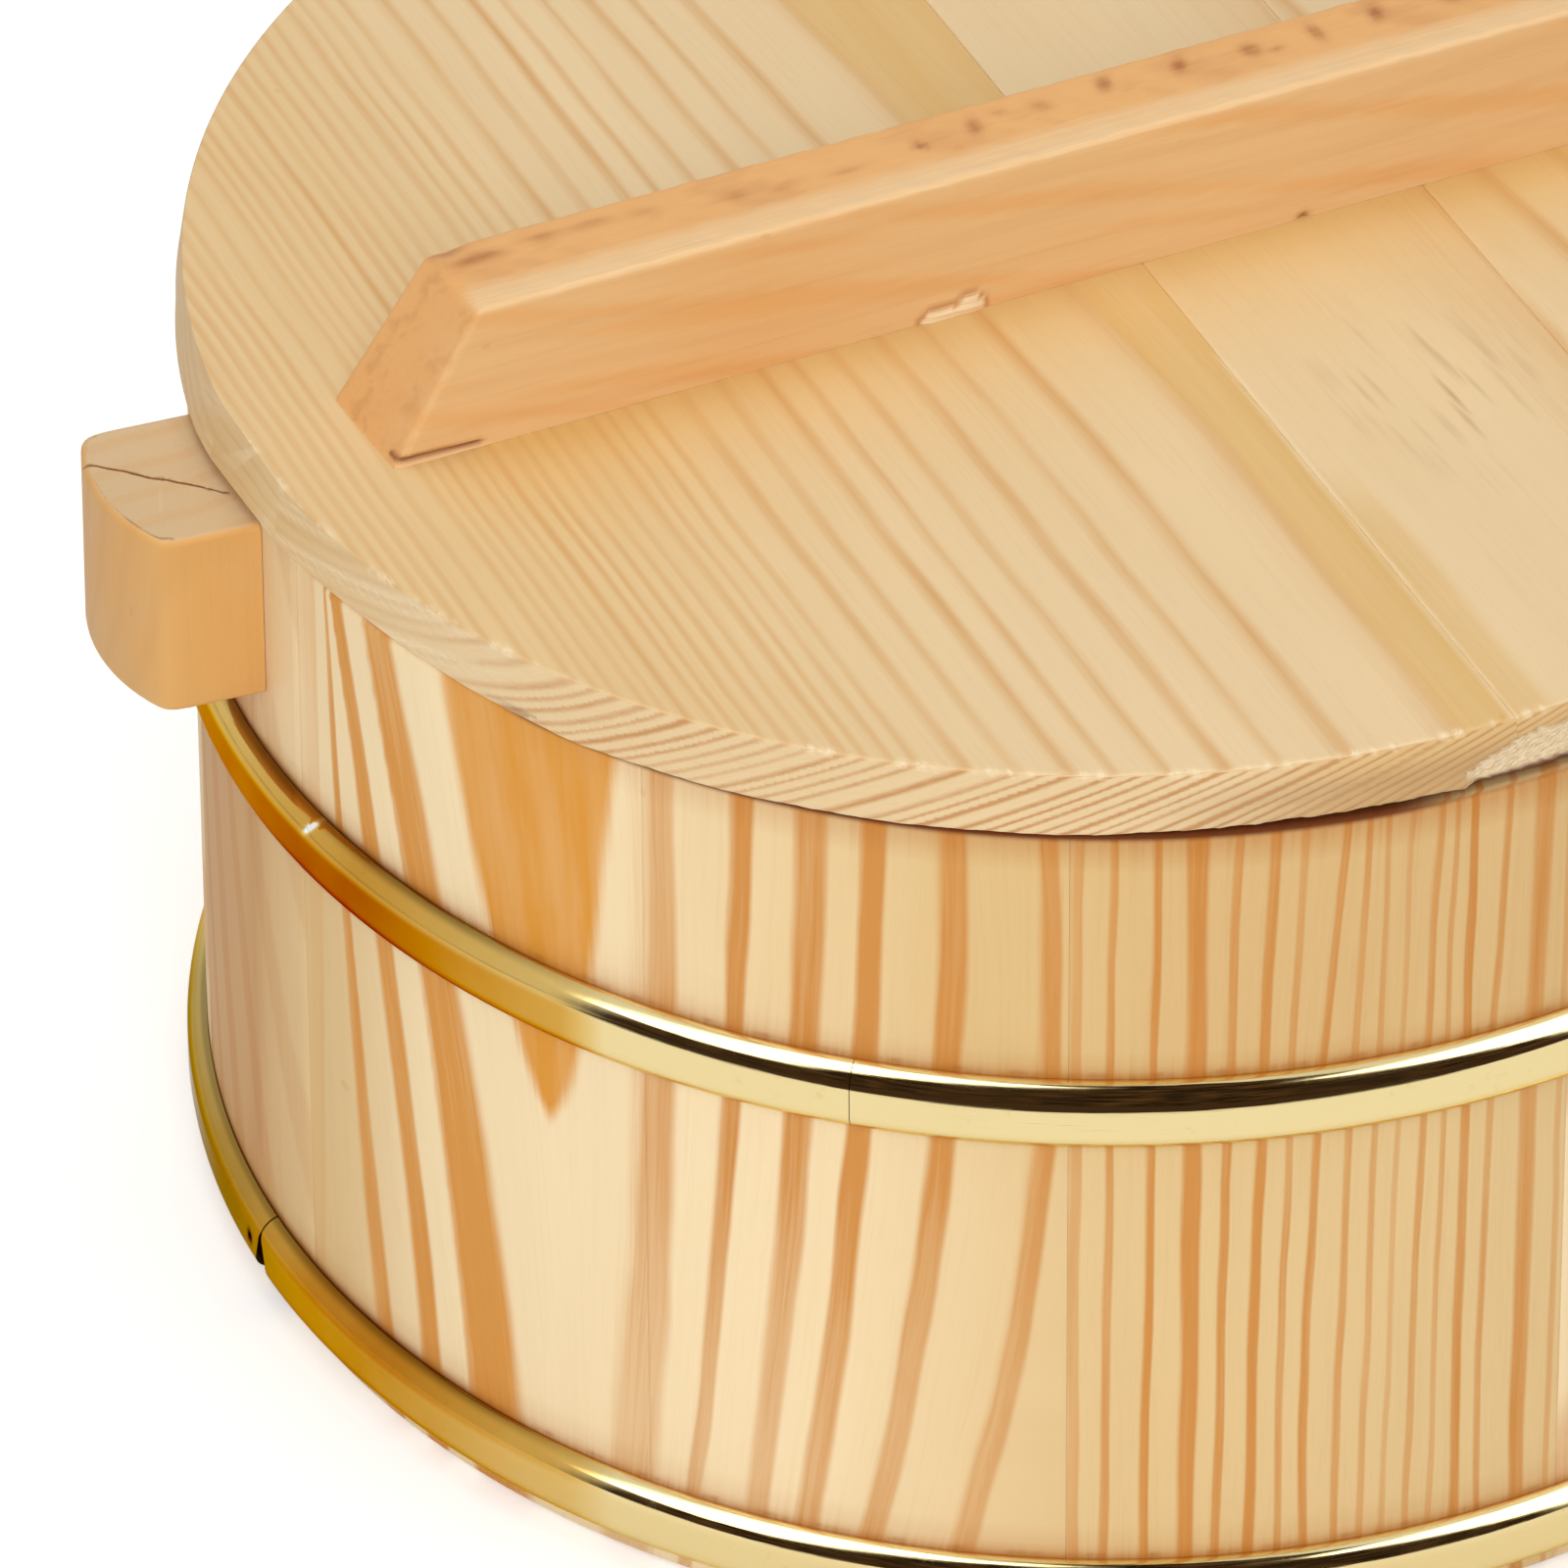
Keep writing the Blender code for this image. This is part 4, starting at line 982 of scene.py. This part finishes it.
# Scorched marks on the handle's top: place along and across it, width, length and strength
BATTEN_MARKS = (
    (-93.1, 3.5, 3.2, 1.0, 0.75), (-83.2, 4.4, 2.6, 0.9, 0.5), (-76.0, 4.2, 3.4, 0.9, 0.45),
    (-68.5, 3.8, 2.0, 0.9, 0.3), (-54.9, 1.8, 1.6, 1.0, 0.35), (-48.0, 1.0, 2.4, 0.7, 0.35),
    (-39.0, 0.6, 2.6, 0.7, 0.35), (-27.0, 1.6, 0.8, 1.3, 0.6), (-18.4, 2.8, 1.1, 2.2, 0.55),
    (-13.6, 4.2, 1.3, 0.9, 0.3), (-7.9, 3.2, 1.6, 1.4, 0.45), (2.4, 4.2, 1.1, 1.7, 0.8),
    (13.9, 3.9, 1.1, 1.5, 0.75), (24.6, 2.9, 1.4, 1.6, 0.8), (28.0, 1.5, 1.2, 0.7, 0.5),
    (34.8, 2.9, 1.0, 2.3, 0.65), (44.6, 3.7, 1.1, 1.9, 0.7), (56.3, 2.4, 1.5, 1.2, 0.55),
    (66.0, 3.4, 1.2, 1.5, 0.6), (77.5, 2.8, 1.4, 1.7, 0.5), (88.0, 3.6, 1.3, 1.4, 0.55),
)
# On the handle's front face, at its foot: a crack, a dark dot and lumps of glue
CRACK_START, CRACK_END = -104, -98.0
DOT_PLACE = 27.0
GLUE = ((-29.4, 2.8, 1.7), (-25.0, 2.2, 2.4))   # each lump's place, half width and height
CRACK_DEPTH, GLUE_HEIGHT = 0.0007, 0.0004
CORNER_WEAR = 0.0011
TOP_ROUGHNESS = 0.0003
UNEVEN_WIDTH = 0.008            # share by which the handle narrows and widens along its length
BATTEN_LIFT = 0.00003           # off the lid


def make_batten():
    low, high = LID_TOP + BATTEN_LIFT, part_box("lid_batten")[1].z
    foot, top = BATTEN_HALF_FOOT, BATTEN_HALF_FOOT - BATTEN_END_RUN
    lower, upper = [
        four_corners(reach - BATTEN_SKEW, reach, -half, half, z)
        for reach, half, z in ((foot, BATTEN_HALF_WIDTH, low), (top, BATTEN_HALF_TOP, high))]
    near_foot = low + np.array([0.0003, 0.0006, 0.0009, 0.0012])
    cuts = (np.arange(-0.112, 0.1121, 0.0008), np.arange(-0.0075, 0.0076, 0.001),
            [*near_foot, *np.arange(low + 0.002, high - 0.001, 0.001)])
    item = block("bar_lid_batten", lower, upper, BAR_ROUND, cuts, BATTEN_WOOD, sharp_foot=True)
    points = points_of(item)
    x, y, z = points.T / MM
    up = (points[:, 2] - low) / (high - low)
    end = (foot - up * BATTEN_END_RUN) / MM
    rough = smooth(0.93, 1.0, up)
    on_front = y < -7
    points[:, 2] -= TOP_ROUGHNESS * rough * (0.5 + 0.5 * wobble(x / 2.6 + 1.7 * wobble(y / 3, 4), 11, 6))
    points[:, 1] *= 1 - UNEVEN_WIDTH * (0.5 + 0.5 * wobble(x / 37, 2))
    height = (points[:, 2] - low) / MM
    crack = smooth(CRACK_END, CRACK_END - 1.5, x) * bell(height + (x - CRACK_START) * 0.03, 0.8, 0.42)
    dot = bell(x, DOT_PLACE, 0.8) * bell(height, 0, 0.8)
    # The crack's darkening is painted shade in the crack; the dot is a dark mark
    dark = most(crack, dot) * on_front
    glue = most(*[bell(x, place, wide) * bell(height, 0, tall) for place, wide, tall in GLUE]) * on_front
    points[:, 1] += CRACK_DEPTH * dark - GLUE_HEIGHT * smooth(0.15, 0.8, glue)
    corner = bell(x + end, 2.5, 3.0) * smooth(4.5, 7.5, y) * rough
    points[:, 2] -= CORNER_WEAR * corner * (0.7 + 0.3 * wobble(x / 0.9, 5))
    move_points(item, points)
    shade(item, 35)

    marks = 0.0
    for mark_x, mark_y, wide, long, strength in BATTEN_MARKS:
        across = (x - mark_x) - 0.35 * (y - mark_y) * math.sin(mark_x)
        marks = marks + strength * bell(across, 0, wide) * bell(y, mark_y, long)
    blotch = smooth(0.0, 0.9, wobble(x / 6.5 + 0.8 * wobble(y / 2.2, 8), 17, 4) + 0.2 * wobble(y / 2.4, 3))
    end_face = smooth(0.0, 1.5, np.abs(x) - end + 1.8)
    pits = smooth(0.15, 0.75, wobble(y / 2.4 + 1.1 * wobble(z / 2.9, 3), 23, 5) + 0.4 * wobble(z / 1.7, 9))
    stain = most(
        (np.clip(1.5 * marks, 0, 0.9) + 0.28 * blotch * smooth(-3.5, -1.5, y)) * rough, 0.8 * corner,
        0.30 * end_face * pits, 0.9 * dark, 0.7 * smooth(0.08, 0.2, glue) * smooth(0.40, 0.28, glue))
    orange = 0.6 * smooth(0.0, 0.7, wobble(x / 19 + z / 4, 6) + 0.5 * wobble(z / 2.3 + x / 31, 9))
    orange = (orange + 0.3 * bell(x, -58, 16)) * (y < 0) * (1 - rough)
    tone = np.clip(end_face + orange + 0.9 * rough * smooth(-6.0, -1.0, y), 0, 1)
    bare = most(0.2 * rough * smooth(-1.0, -4.0, y), smooth(0.30, 0.42, glue))
    ring = (y * 0.45 + z * 0.22) / 1.6 + 0.8 * wobble(x / 90 + y / 14, 3)
    grain(item, ring, (y + 500, z, x), 0.16 * (1 - end_face) * (1 - rough), stain=stain, tone=tone,
          bare=bare, soot=0.55 * dark)
    item.data.transform(BATTEN_FRAME)
    stands_for(item, "lid_batten", "lid")


# Crack in the left ear's top, from its start along its run, in millimetres
EAR_CRACK_START, EAR_CRACK_RUN = (-147.9, 7.7), (17.2, -13.5)
EAR_CRACK_HALF_WIDTH, EAR_CRACK_DEPTH = 0.00026, 0.0011
# Rings of points across an ear's top and foot, as shares of its outline
CAP_SCALES = (0.05, 0.15, 0.3, 0.45, 0.6, 0.7, 0.78, 0.84, 0.89, 0.93, 0.96, 0.985)


def ear_plan():
    """Outline of an ear on +X, from the wall out along one side and back along the other."""
    wall = wall_radius(BODY_HEIGHT)
    first = np.array([wall + EAR_LONG_REACH, -EAR_HALF_WIDTH])
    last = np.array([wall + EAR_SHORT_REACH, EAR_HALF_WIDTH])
    half = np.linalg.norm(last - first) / 2
    outward = np.array([last[1] - first[1], first[0] - last[0]]) / (2 * half)
    arc = (half ** 2 + EAR_END_BULGE ** 2) / (2 * EAR_END_BULGE)
    centre = (first + last) / 2 + outward * (EAR_END_BULGE - arc)
    turns = math.atan2(outward[1], outward[0]) + np.linspace(-1, 1, 41) * math.asin(half / arc)
    end = centre + arc * np.stack([np.cos(turns), np.sin(turns)], 1)
    start_x = math.sqrt(wall ** 2 - EAR_HALF_WIDTH ** 2)
    out = np.linspace(0, 1, 14)[:-1]
    outline = np.array([*[(start_x + (first[0] - start_x) * s, first[1]) for s in out], *end,
                        *[(start_x + (last[0] - start_x) * s, last[1]) for s in out[::-1]]])
    for _ in range(6):
        blend = 0.5 * outline[1:-1] + 0.25 * (outline[:-2] + outline[2:])
        outline = np.concatenate([outline[:1], blend, outline[-1:]])
    return outline


def distance_to(line, x, y):
    return np.min(np.hypot(x[:, None] - line[None, :, 0], y[:, None] - line[None, :, 1]), axis=1)


def make_ear(side, direction):
    name = f"ear_{side}"
    low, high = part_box(name)
    outline = ear_plan()
    along = np.gradient(outline, axis=0)
    normal = np.stack([along[:, 1], -along[:, 0]], 1) / np.linalg.norm(along, axis=1)[:, None]
    drops, tucks = rounding(EAR_ROUND, [0, 18, 36, 54, 72, 90])
    levels = [*zip(low.z + drops, tucks)]
    levels += [(z, 0.0) for z in np.linspace(low.z + EAR_ROUND, high.z - EAR_ROUND, 20)[1:-1]]
    levels += zip(high.z - drops[::-1], tucks[::-1])

    def loop_at(z, tuck, scale=1.0):
        wall = wall_radius(z) + PRESS
        outer = outline - normal * tuck
        share = (z - low.z) / (high.z - low.z)
        outer[:, 0] -= EAR_FLARE * share * smooth(wall + 0.002, wall + 0.012, outer[:, 0])
        inner_y = np.linspace(outer[-1, 1], outer[0, 1], 22)
        on_wall = np.stack([np.sqrt(wall ** 2 - inner_y ** 2), inner_y], 1)
        outer[-1], outer[0] = on_wall[0], on_wall[-1]
        flat = np.concatenate([outer, on_wall[1:-1]])
        centre = flat.mean(0)
        flat = direction * (centre + (flat - centre) * scale)
        return np.column_stack([flat, np.full(len(flat), z)])

    sections = [loop_at(low.z, EAR_ROUND, scale) for scale in CAP_SCALES]
    sections += [loop_at(z, tuck) for z, tuck in levels]
    sections += [loop_at(high.z, EAR_ROUND, scale) for scale in CAP_SCALES[::-1]]
    item = solid("block_" + name, sections, EAR_WOOD)
    share = np.linspace(0, 1, 30)
    crack = np.stack([EAR_CRACK_START[0] + EAR_CRACK_RUN[0] * share,
                      EAR_CRACK_START[1] + EAR_CRACK_RUN[1] * share + 0.35 * wobble(share * 9, 2)], 1)
    if side == "left":
        wide = EAR_CRACK_HALF_WIDTH * (0.6 + 0.4 * np.sin(math.pi * share))
        carve(item, [solid("cutter", [
            [(x - w * 0.6, y - w * 0.8, high.z + 0.0005), (x + w * 0.6, y + w * 0.8, high.z + 0.0005),
             (x, y, high.z - EAR_CRACK_DEPTH)] for (x, y), w in zip(crack * MM, wide)])])
    shade(item, 35)
    x, y, z = points_of(item).T / MM
    top_z = high.z / MM
    on_top = smooth(top_z - 0.25, top_z - 0.05, z)
    inset = distance_to(direction * outline[12:-12] / MM, x, y)
    # Painted shade line of a raised lip, just inside the edge of the top
    brown = on_top * bell(inset, 1.3, 0.6) * (0.75 + 0.35 * wobble(y / 5 + x / 7, 3))
    if side == "left":
        # Painted shade along the crack
        by_crack = smooth(0.55, 0.3, distance_to(crack, x, y))
        brown = most(brown, by_crack * (z > top_z - 1.6))
    ring = (y * 0.5 + (z - low.z / MM) * 0.12) / 3.2 + 0.4 * wobble(x / 12 + z / 20, 6)
    cloudy = 0.14 * smooth(-0.3, 0.8, wobble(x / 6 + z / 14, 3) + 0.6 * wobble(z / 5 + y / 4, 7))
    grain(item, ring, (y + 700, x + 300, z), 0.22, -1.6 + 2.3 * np.clip(brown, 0, 1), tint=0.6,
          tone=on_top + cloudy * (1 - on_top))
    stands_for(item, name, "bucket")


def make_dowels(side, direction):
    for level in ("upper", "lower"):
        name = f"ear_{side}_dowel_{level}"
        low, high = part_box(name)
        radius, length = (high.z - low.z) / 2, high.x - low.x
        profile = [(0.0, 0.0), (radius * 0.5, 0.0), (radius - 0.0006, 0.0), (radius - 0.0003, 0.0001),
                   (radius, 0.0006), *[(radius, length * s) for s in (0.25, 0.5, 0.75)],
                   (radius, length - 0.0006), (radius - 0.0006, length), (0.0, length)]
        start = min(abs(low.x), abs(high.x))
        item = turned("peg_" + name, profile, direction, start, (low.z + high.z) / 2, EAR_WOOD)
        shade(item)
        x, y, z = points_of(item).T / MM
        grain(item, np.hypot(y + 9, z - low.z / MM + 4) / 1.1, (y, z, x), 0.6, tone=0.2)
        stands_for(item, name, "bucket")


def make_strip(prefix, name, start, end, radius, edge, material, turn, seed, tone):
    """A board cut from a flat disc and turned to its place, with the grain along it."""
    low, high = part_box(name)
    item = strip_in_disc(prefix + name, start, end, radius, low.z, high.z, edge, material)
    item.data.transform(spin('Z', math.radians(turn)))
    shade(item)
    board_grain(item, seed, 0 if turn else 1, tone)
    return item


def make_grate():
    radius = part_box("grate_slat_7")[1].x
    for number in range(1, 8):
        name = f"grate_slat_{number}"
        low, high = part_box(name)
        item = make_strip("slat_", name, low.x, high.x, radius, SLAT_ROUND, GRATE_WOOD, 0,
                          3 + number * 1.9, 0.3 + 0.25 * math.sin(number * 2.2))
        stands_for(item, name, "grate")
    for level, end in (("front", -1), ("back", 1)):
        name = f"grate_cleat_{level}"
        low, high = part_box(name)
        item = make_strip("rail_", name, low.y, high.y, radius, BAR_ROUND, GRATE_WOOD, 90, 11 + end, 0.4)
        stands_for(item, name, "grate")
        name = f"grate_bar_{level}"
        low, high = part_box(name)
        tenon_end = INNER_RADIUS + TENON_DEPTH - TENON_PLAY
        reach = [math.sqrt(tenon_end ** 2 - y ** 2) for y in (low.y, high.y)]
        lower, upper = [four_corners(*reach, low.y, high.y, z) for z in (low.z, high.z)]
        cuts = (np.arange(-0.12, 0.121, 0.004), np.linspace(low.y, high.y, 9)[1:-1],
                np.linspace(low.z, high.z, 9)[1:-1])
        item = block("rail_" + name, lower, upper, BAR_ROUND, cuts, GRATE_WOOD)
        shade(item)
        board_grain(item, 17 + end, 0, 0.6)
        stands_for(item, name, "bucket")


def make_lid_cleats():
    for level, end in (("front", -1), ("back", 1)):
        name = f"lid_cleat_{level}"
        middle = -end * LID_CLEAT_MIDDLE
        item = make_strip("rail_", name, middle - LID_CLEAT_HALF_WIDTH, middle + LID_CLEAT_HALF_WIDTH,
                          LID_CLEAT_RADIUS, LID_CLEAT_ROUND, LID_WOOD, -90, 23 + end, 0.5)
        item.data.transform(LID_FRAME)
        stands_for(item, name, "lid")


def dress(start_of_name, material):
    """Gives CAD nodes that keep their shape a better material."""
    for name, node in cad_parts.items():
        if name.startswith(start_of_name):
            node.data.materials.clear()
            node.data.materials.append(material)


def make_camera():
    """The camera that took the photograph, turned to the CAD model's frame."""
    facing = spin('Z', -CAMERA_YAW) @ spin('X', math.pi / 2 - CAMERA_PITCH) @ spin('Z', CAMERA_ROLL)
    spot = heading(-90, math.degrees(CAMERA_ELEVATION)) * CAMERA_DISTANCE * PHOTO_UNIT
    spot.z += PHOTO_PLANE_Z
    data = bpy.data.cameras.new("camera")
    data.sensor_width = 36
    data.sensor_fit = 'HORIZONTAL'
    data.lens = CAMERA_FOCAL_PIXELS / PHOTO_PIXELS * data.sensor_width
    data.clip_end = 20
    camera = add_object("camera", data)
    camera.matrix_world = spin('Z', math.radians(VIEW_AZIMUTH)) @ Matrix.Translation(spot) @ facing
    bpy.context.scene.camera = camera


def add_light(name, azimuth, elevation, distance, width, height, power):
    """A soft box aimed at the bucket. Azimuth 0 is the camera's side and elevation 90 overhead."""
    data = bpy.data.lights.new(name, 'AREA')
    data.shape = 'RECTANGLE'
    data.size = width
    data.size_y = height
    data.energy = power
    light = add_object(name, data)
    away = heading(VIEW_AZIMUTH - 90 + azimuth, elevation)
    light.location = LIGHT_TARGET + away * distance
    light.rotation_euler = away.to_track_quat('Z', 'Y').to_euler()
    light.visible_glossy = False


# What polished metal mirrors: a floor that glows up to a dark table behind the camera, and in a
# studio with a dark side two white panels, each with the azimuth and elevation of its middle and
# its reach to both sides, below and above, as slopes from there
DARK_TABLE = (0.05, 0.028, 0.016, 1)
DARK_START = (0.274, 0.292)     # metres towards the camera
DARK_SLOPE = (1.25, 1.6)        # sideways against that
FLOOR_COLOUR = (0.92, 0.92, 0.92, 1)
FLOOR_REACH = 6
FLOOR_TOP = -0.0005
FLOOR_GLOW, FLOOR_GLOW_IN_METAL = 0.34, 0.08
WHITE = (1, 1, 1, 1)
PANELS = ((200, 60, -0.24, 0.17, -0.52, 0.40), (325, 40, -0.42, 0.55, -0.55, 0.50))
PANEL_COLOUR = (3.0, 3.0, 3.0, 1)
PANEL_EDGE = 0.06
STUDIO_COLOUR = (0.8, 0.8, 0.8, 1)
CLUTTER_COLOURS = ((0.012, 0.008, 0.005, 1), (0.11, 0.058, 0.03, 1))
DARK_SIDE = 247                 # azimuth of the middle of the studio's dark side
DARK_HALF_WIDTH = math.radians(57)
DARK_EDGE = 0.08
CLUTTER_SCALE = (14, 14, 14)
PLAIN_LIGHT = 0.38
LIGHT_TARGET = Vector((0, 0, 0.08))


def make_floor():
    """A plain pale floor that glows in mirror surfaces, up to the studio's dark end behind the camera."""
    material = bpy.data.materials.new("floor")
    n = Nodes(material)
    seen = n.add("LightPath").outputs
    x, y, _ = n.add("SeparateXYZ", {"Vector": n.add("TexCoord").outputs["Object"]}).outputs
    toward = heading(VIEW_AZIMUTH - 90, 0)
    ahead = n.plus(n.times(x, toward.x), n.times(y, toward.y))
    aside = n.math('SUBTRACT', n.times(x, toward.y), n.times(y, toward.x))
    slope = n.math('DIVIDE', n.math('ABSOLUTE', aside), ahead)
    dark_end = n.times(n.step(ahead, *DARK_START), n.step(slope, *DARK_SLOPE, 1.0, 0.0))
    glow = n.plus(n.times(seen["Is Camera Ray"], FLOOR_GLOW),
                  n.times(seen["Is Glossy Ray"], n.step(dark_end, 0.0, 1.0, FLOOR_GLOW_IN_METAL, 0.0)))
    base = n.mix(n.times(seen["Is Glossy Ray"], dark_end), FLOOR_COLOUR, DARK_TABLE)
    n.surface({"Base Color": base, "Emission Strength": glow, "Roughness": 0.9, "Emission Color": WHITE,
               "Specular IOR Level": 0.0})
    low, high = (-FLOOR_REACH, -FLOOR_REACH, -0.02), (FLOOR_REACH, FLOOR_REACH, FLOOR_TOP)
    box("floor", low, high, material)


def make_world():
    """White behind the object, plain light from all round, and a studio with panels in mirrors."""
    world = bpy.data.worlds.new("studio")
    bpy.context.scene.world = world
    n = Nodes(world)
    rays = n.add("LightPath").outputs
    direction = n.add("TexCoord").outputs["Generated"]

    def along(vector, *to):
        axis = heading(*to)
        return n.add("VectorMath", {0: vector, 1: axis}, operation='DOT_PRODUCT').outputs["Value"]

    level = n.add("VectorMath", {0: direction, 1: (1, 1, 0)}, operation='MULTIPLY').outputs[0]
    level = n.add("VectorMath", {0: level}, operation='NORMALIZE').outputs[0]
    dark_side = n.step(along(level, DARK_SIDE, 0), math.cos(DARK_HALF_WIDTH + DARK_EDGE),
                       math.cos(DARK_HALF_WIDTH - DARK_EDGE))
    clutter = n.step(n.noise(direction, CLUTTER_SCALE), 0.4, 0.65, 0.0, 0.8)
    light = n.mix(dark_side, STUDIO_COLOUR, n.mix(clutter, *CLUTTER_COLOURS))
    for azimuth, elevation, *reach in PANELS:
        middle = along(direction, azimuth, elevation)
        aside = n.math('DIVIDE', along(direction, azimuth + 90, 0), middle)
        above = n.math('DIVIDE', along(direction, azimuth, elevation + 90), middle)
        left, right, low, high = [(slope - PANEL_EDGE, slope + PANEL_EDGE) for slope in reach]
        shape = n.times(n.step(aside, *left), n.step(aside, *right, 1, 0), n.step(above, *low),
                        n.step(above, *high, 1, 0), n.math('GREATER_THAN', middle, 0.0))
        light = n.mix(shape, light, PANEL_COLOUR)
    plain, studio, white = [n.add("Background", {"Color": colour, "Strength": strength}).outputs[0]
                            for colour, strength in ((WHITE, PLAIN_LIGHT), (light, 1.0), (WHITE, 1.0))]
    seen = n.add("MixShader", {0: rays["Is Glossy Ray"], 1: plain, 2: studio}).outputs[0]
    seen = n.add("MixShader", {0: rays["Is Camera Ray"], 1: seen, 2: white}).outputs[0]
    n.add("OutputWorld", {0: seen})


for stave_number in range(1, 15):
    make_stave(stave_number)
make_hoop("hoop_upper", UPPER_SEAM, wedge=0.0, on_face=1.0, on_top=0.5, spot=True)
make_hoop("hoop_lower", LOWER_SEAM, wedge=0.003, on_face=0.42, on_top=0.85, film=0.4)
for make_part in (make_ear, make_dowels):
    for ear_side, ear_direction in (("right", 1), ("left", -1)):
        make_part(ear_side, ear_direction)
make_lid()
make_batten()
make_lid_cleats()
make_grate()
dress("stave_pin", BAMBOO)
dress("lid_screw", STEEL)

make_floor()
make_world()
make_camera()
add_light("overhead", 180, 84, 1.6, 1.3, 1.3, 9.0)
add_light("front", -5, 35, 2.0, 1.4, 1.2, 20.0)
bpy.context.scene.view_settings.view_transform = 'Standard'
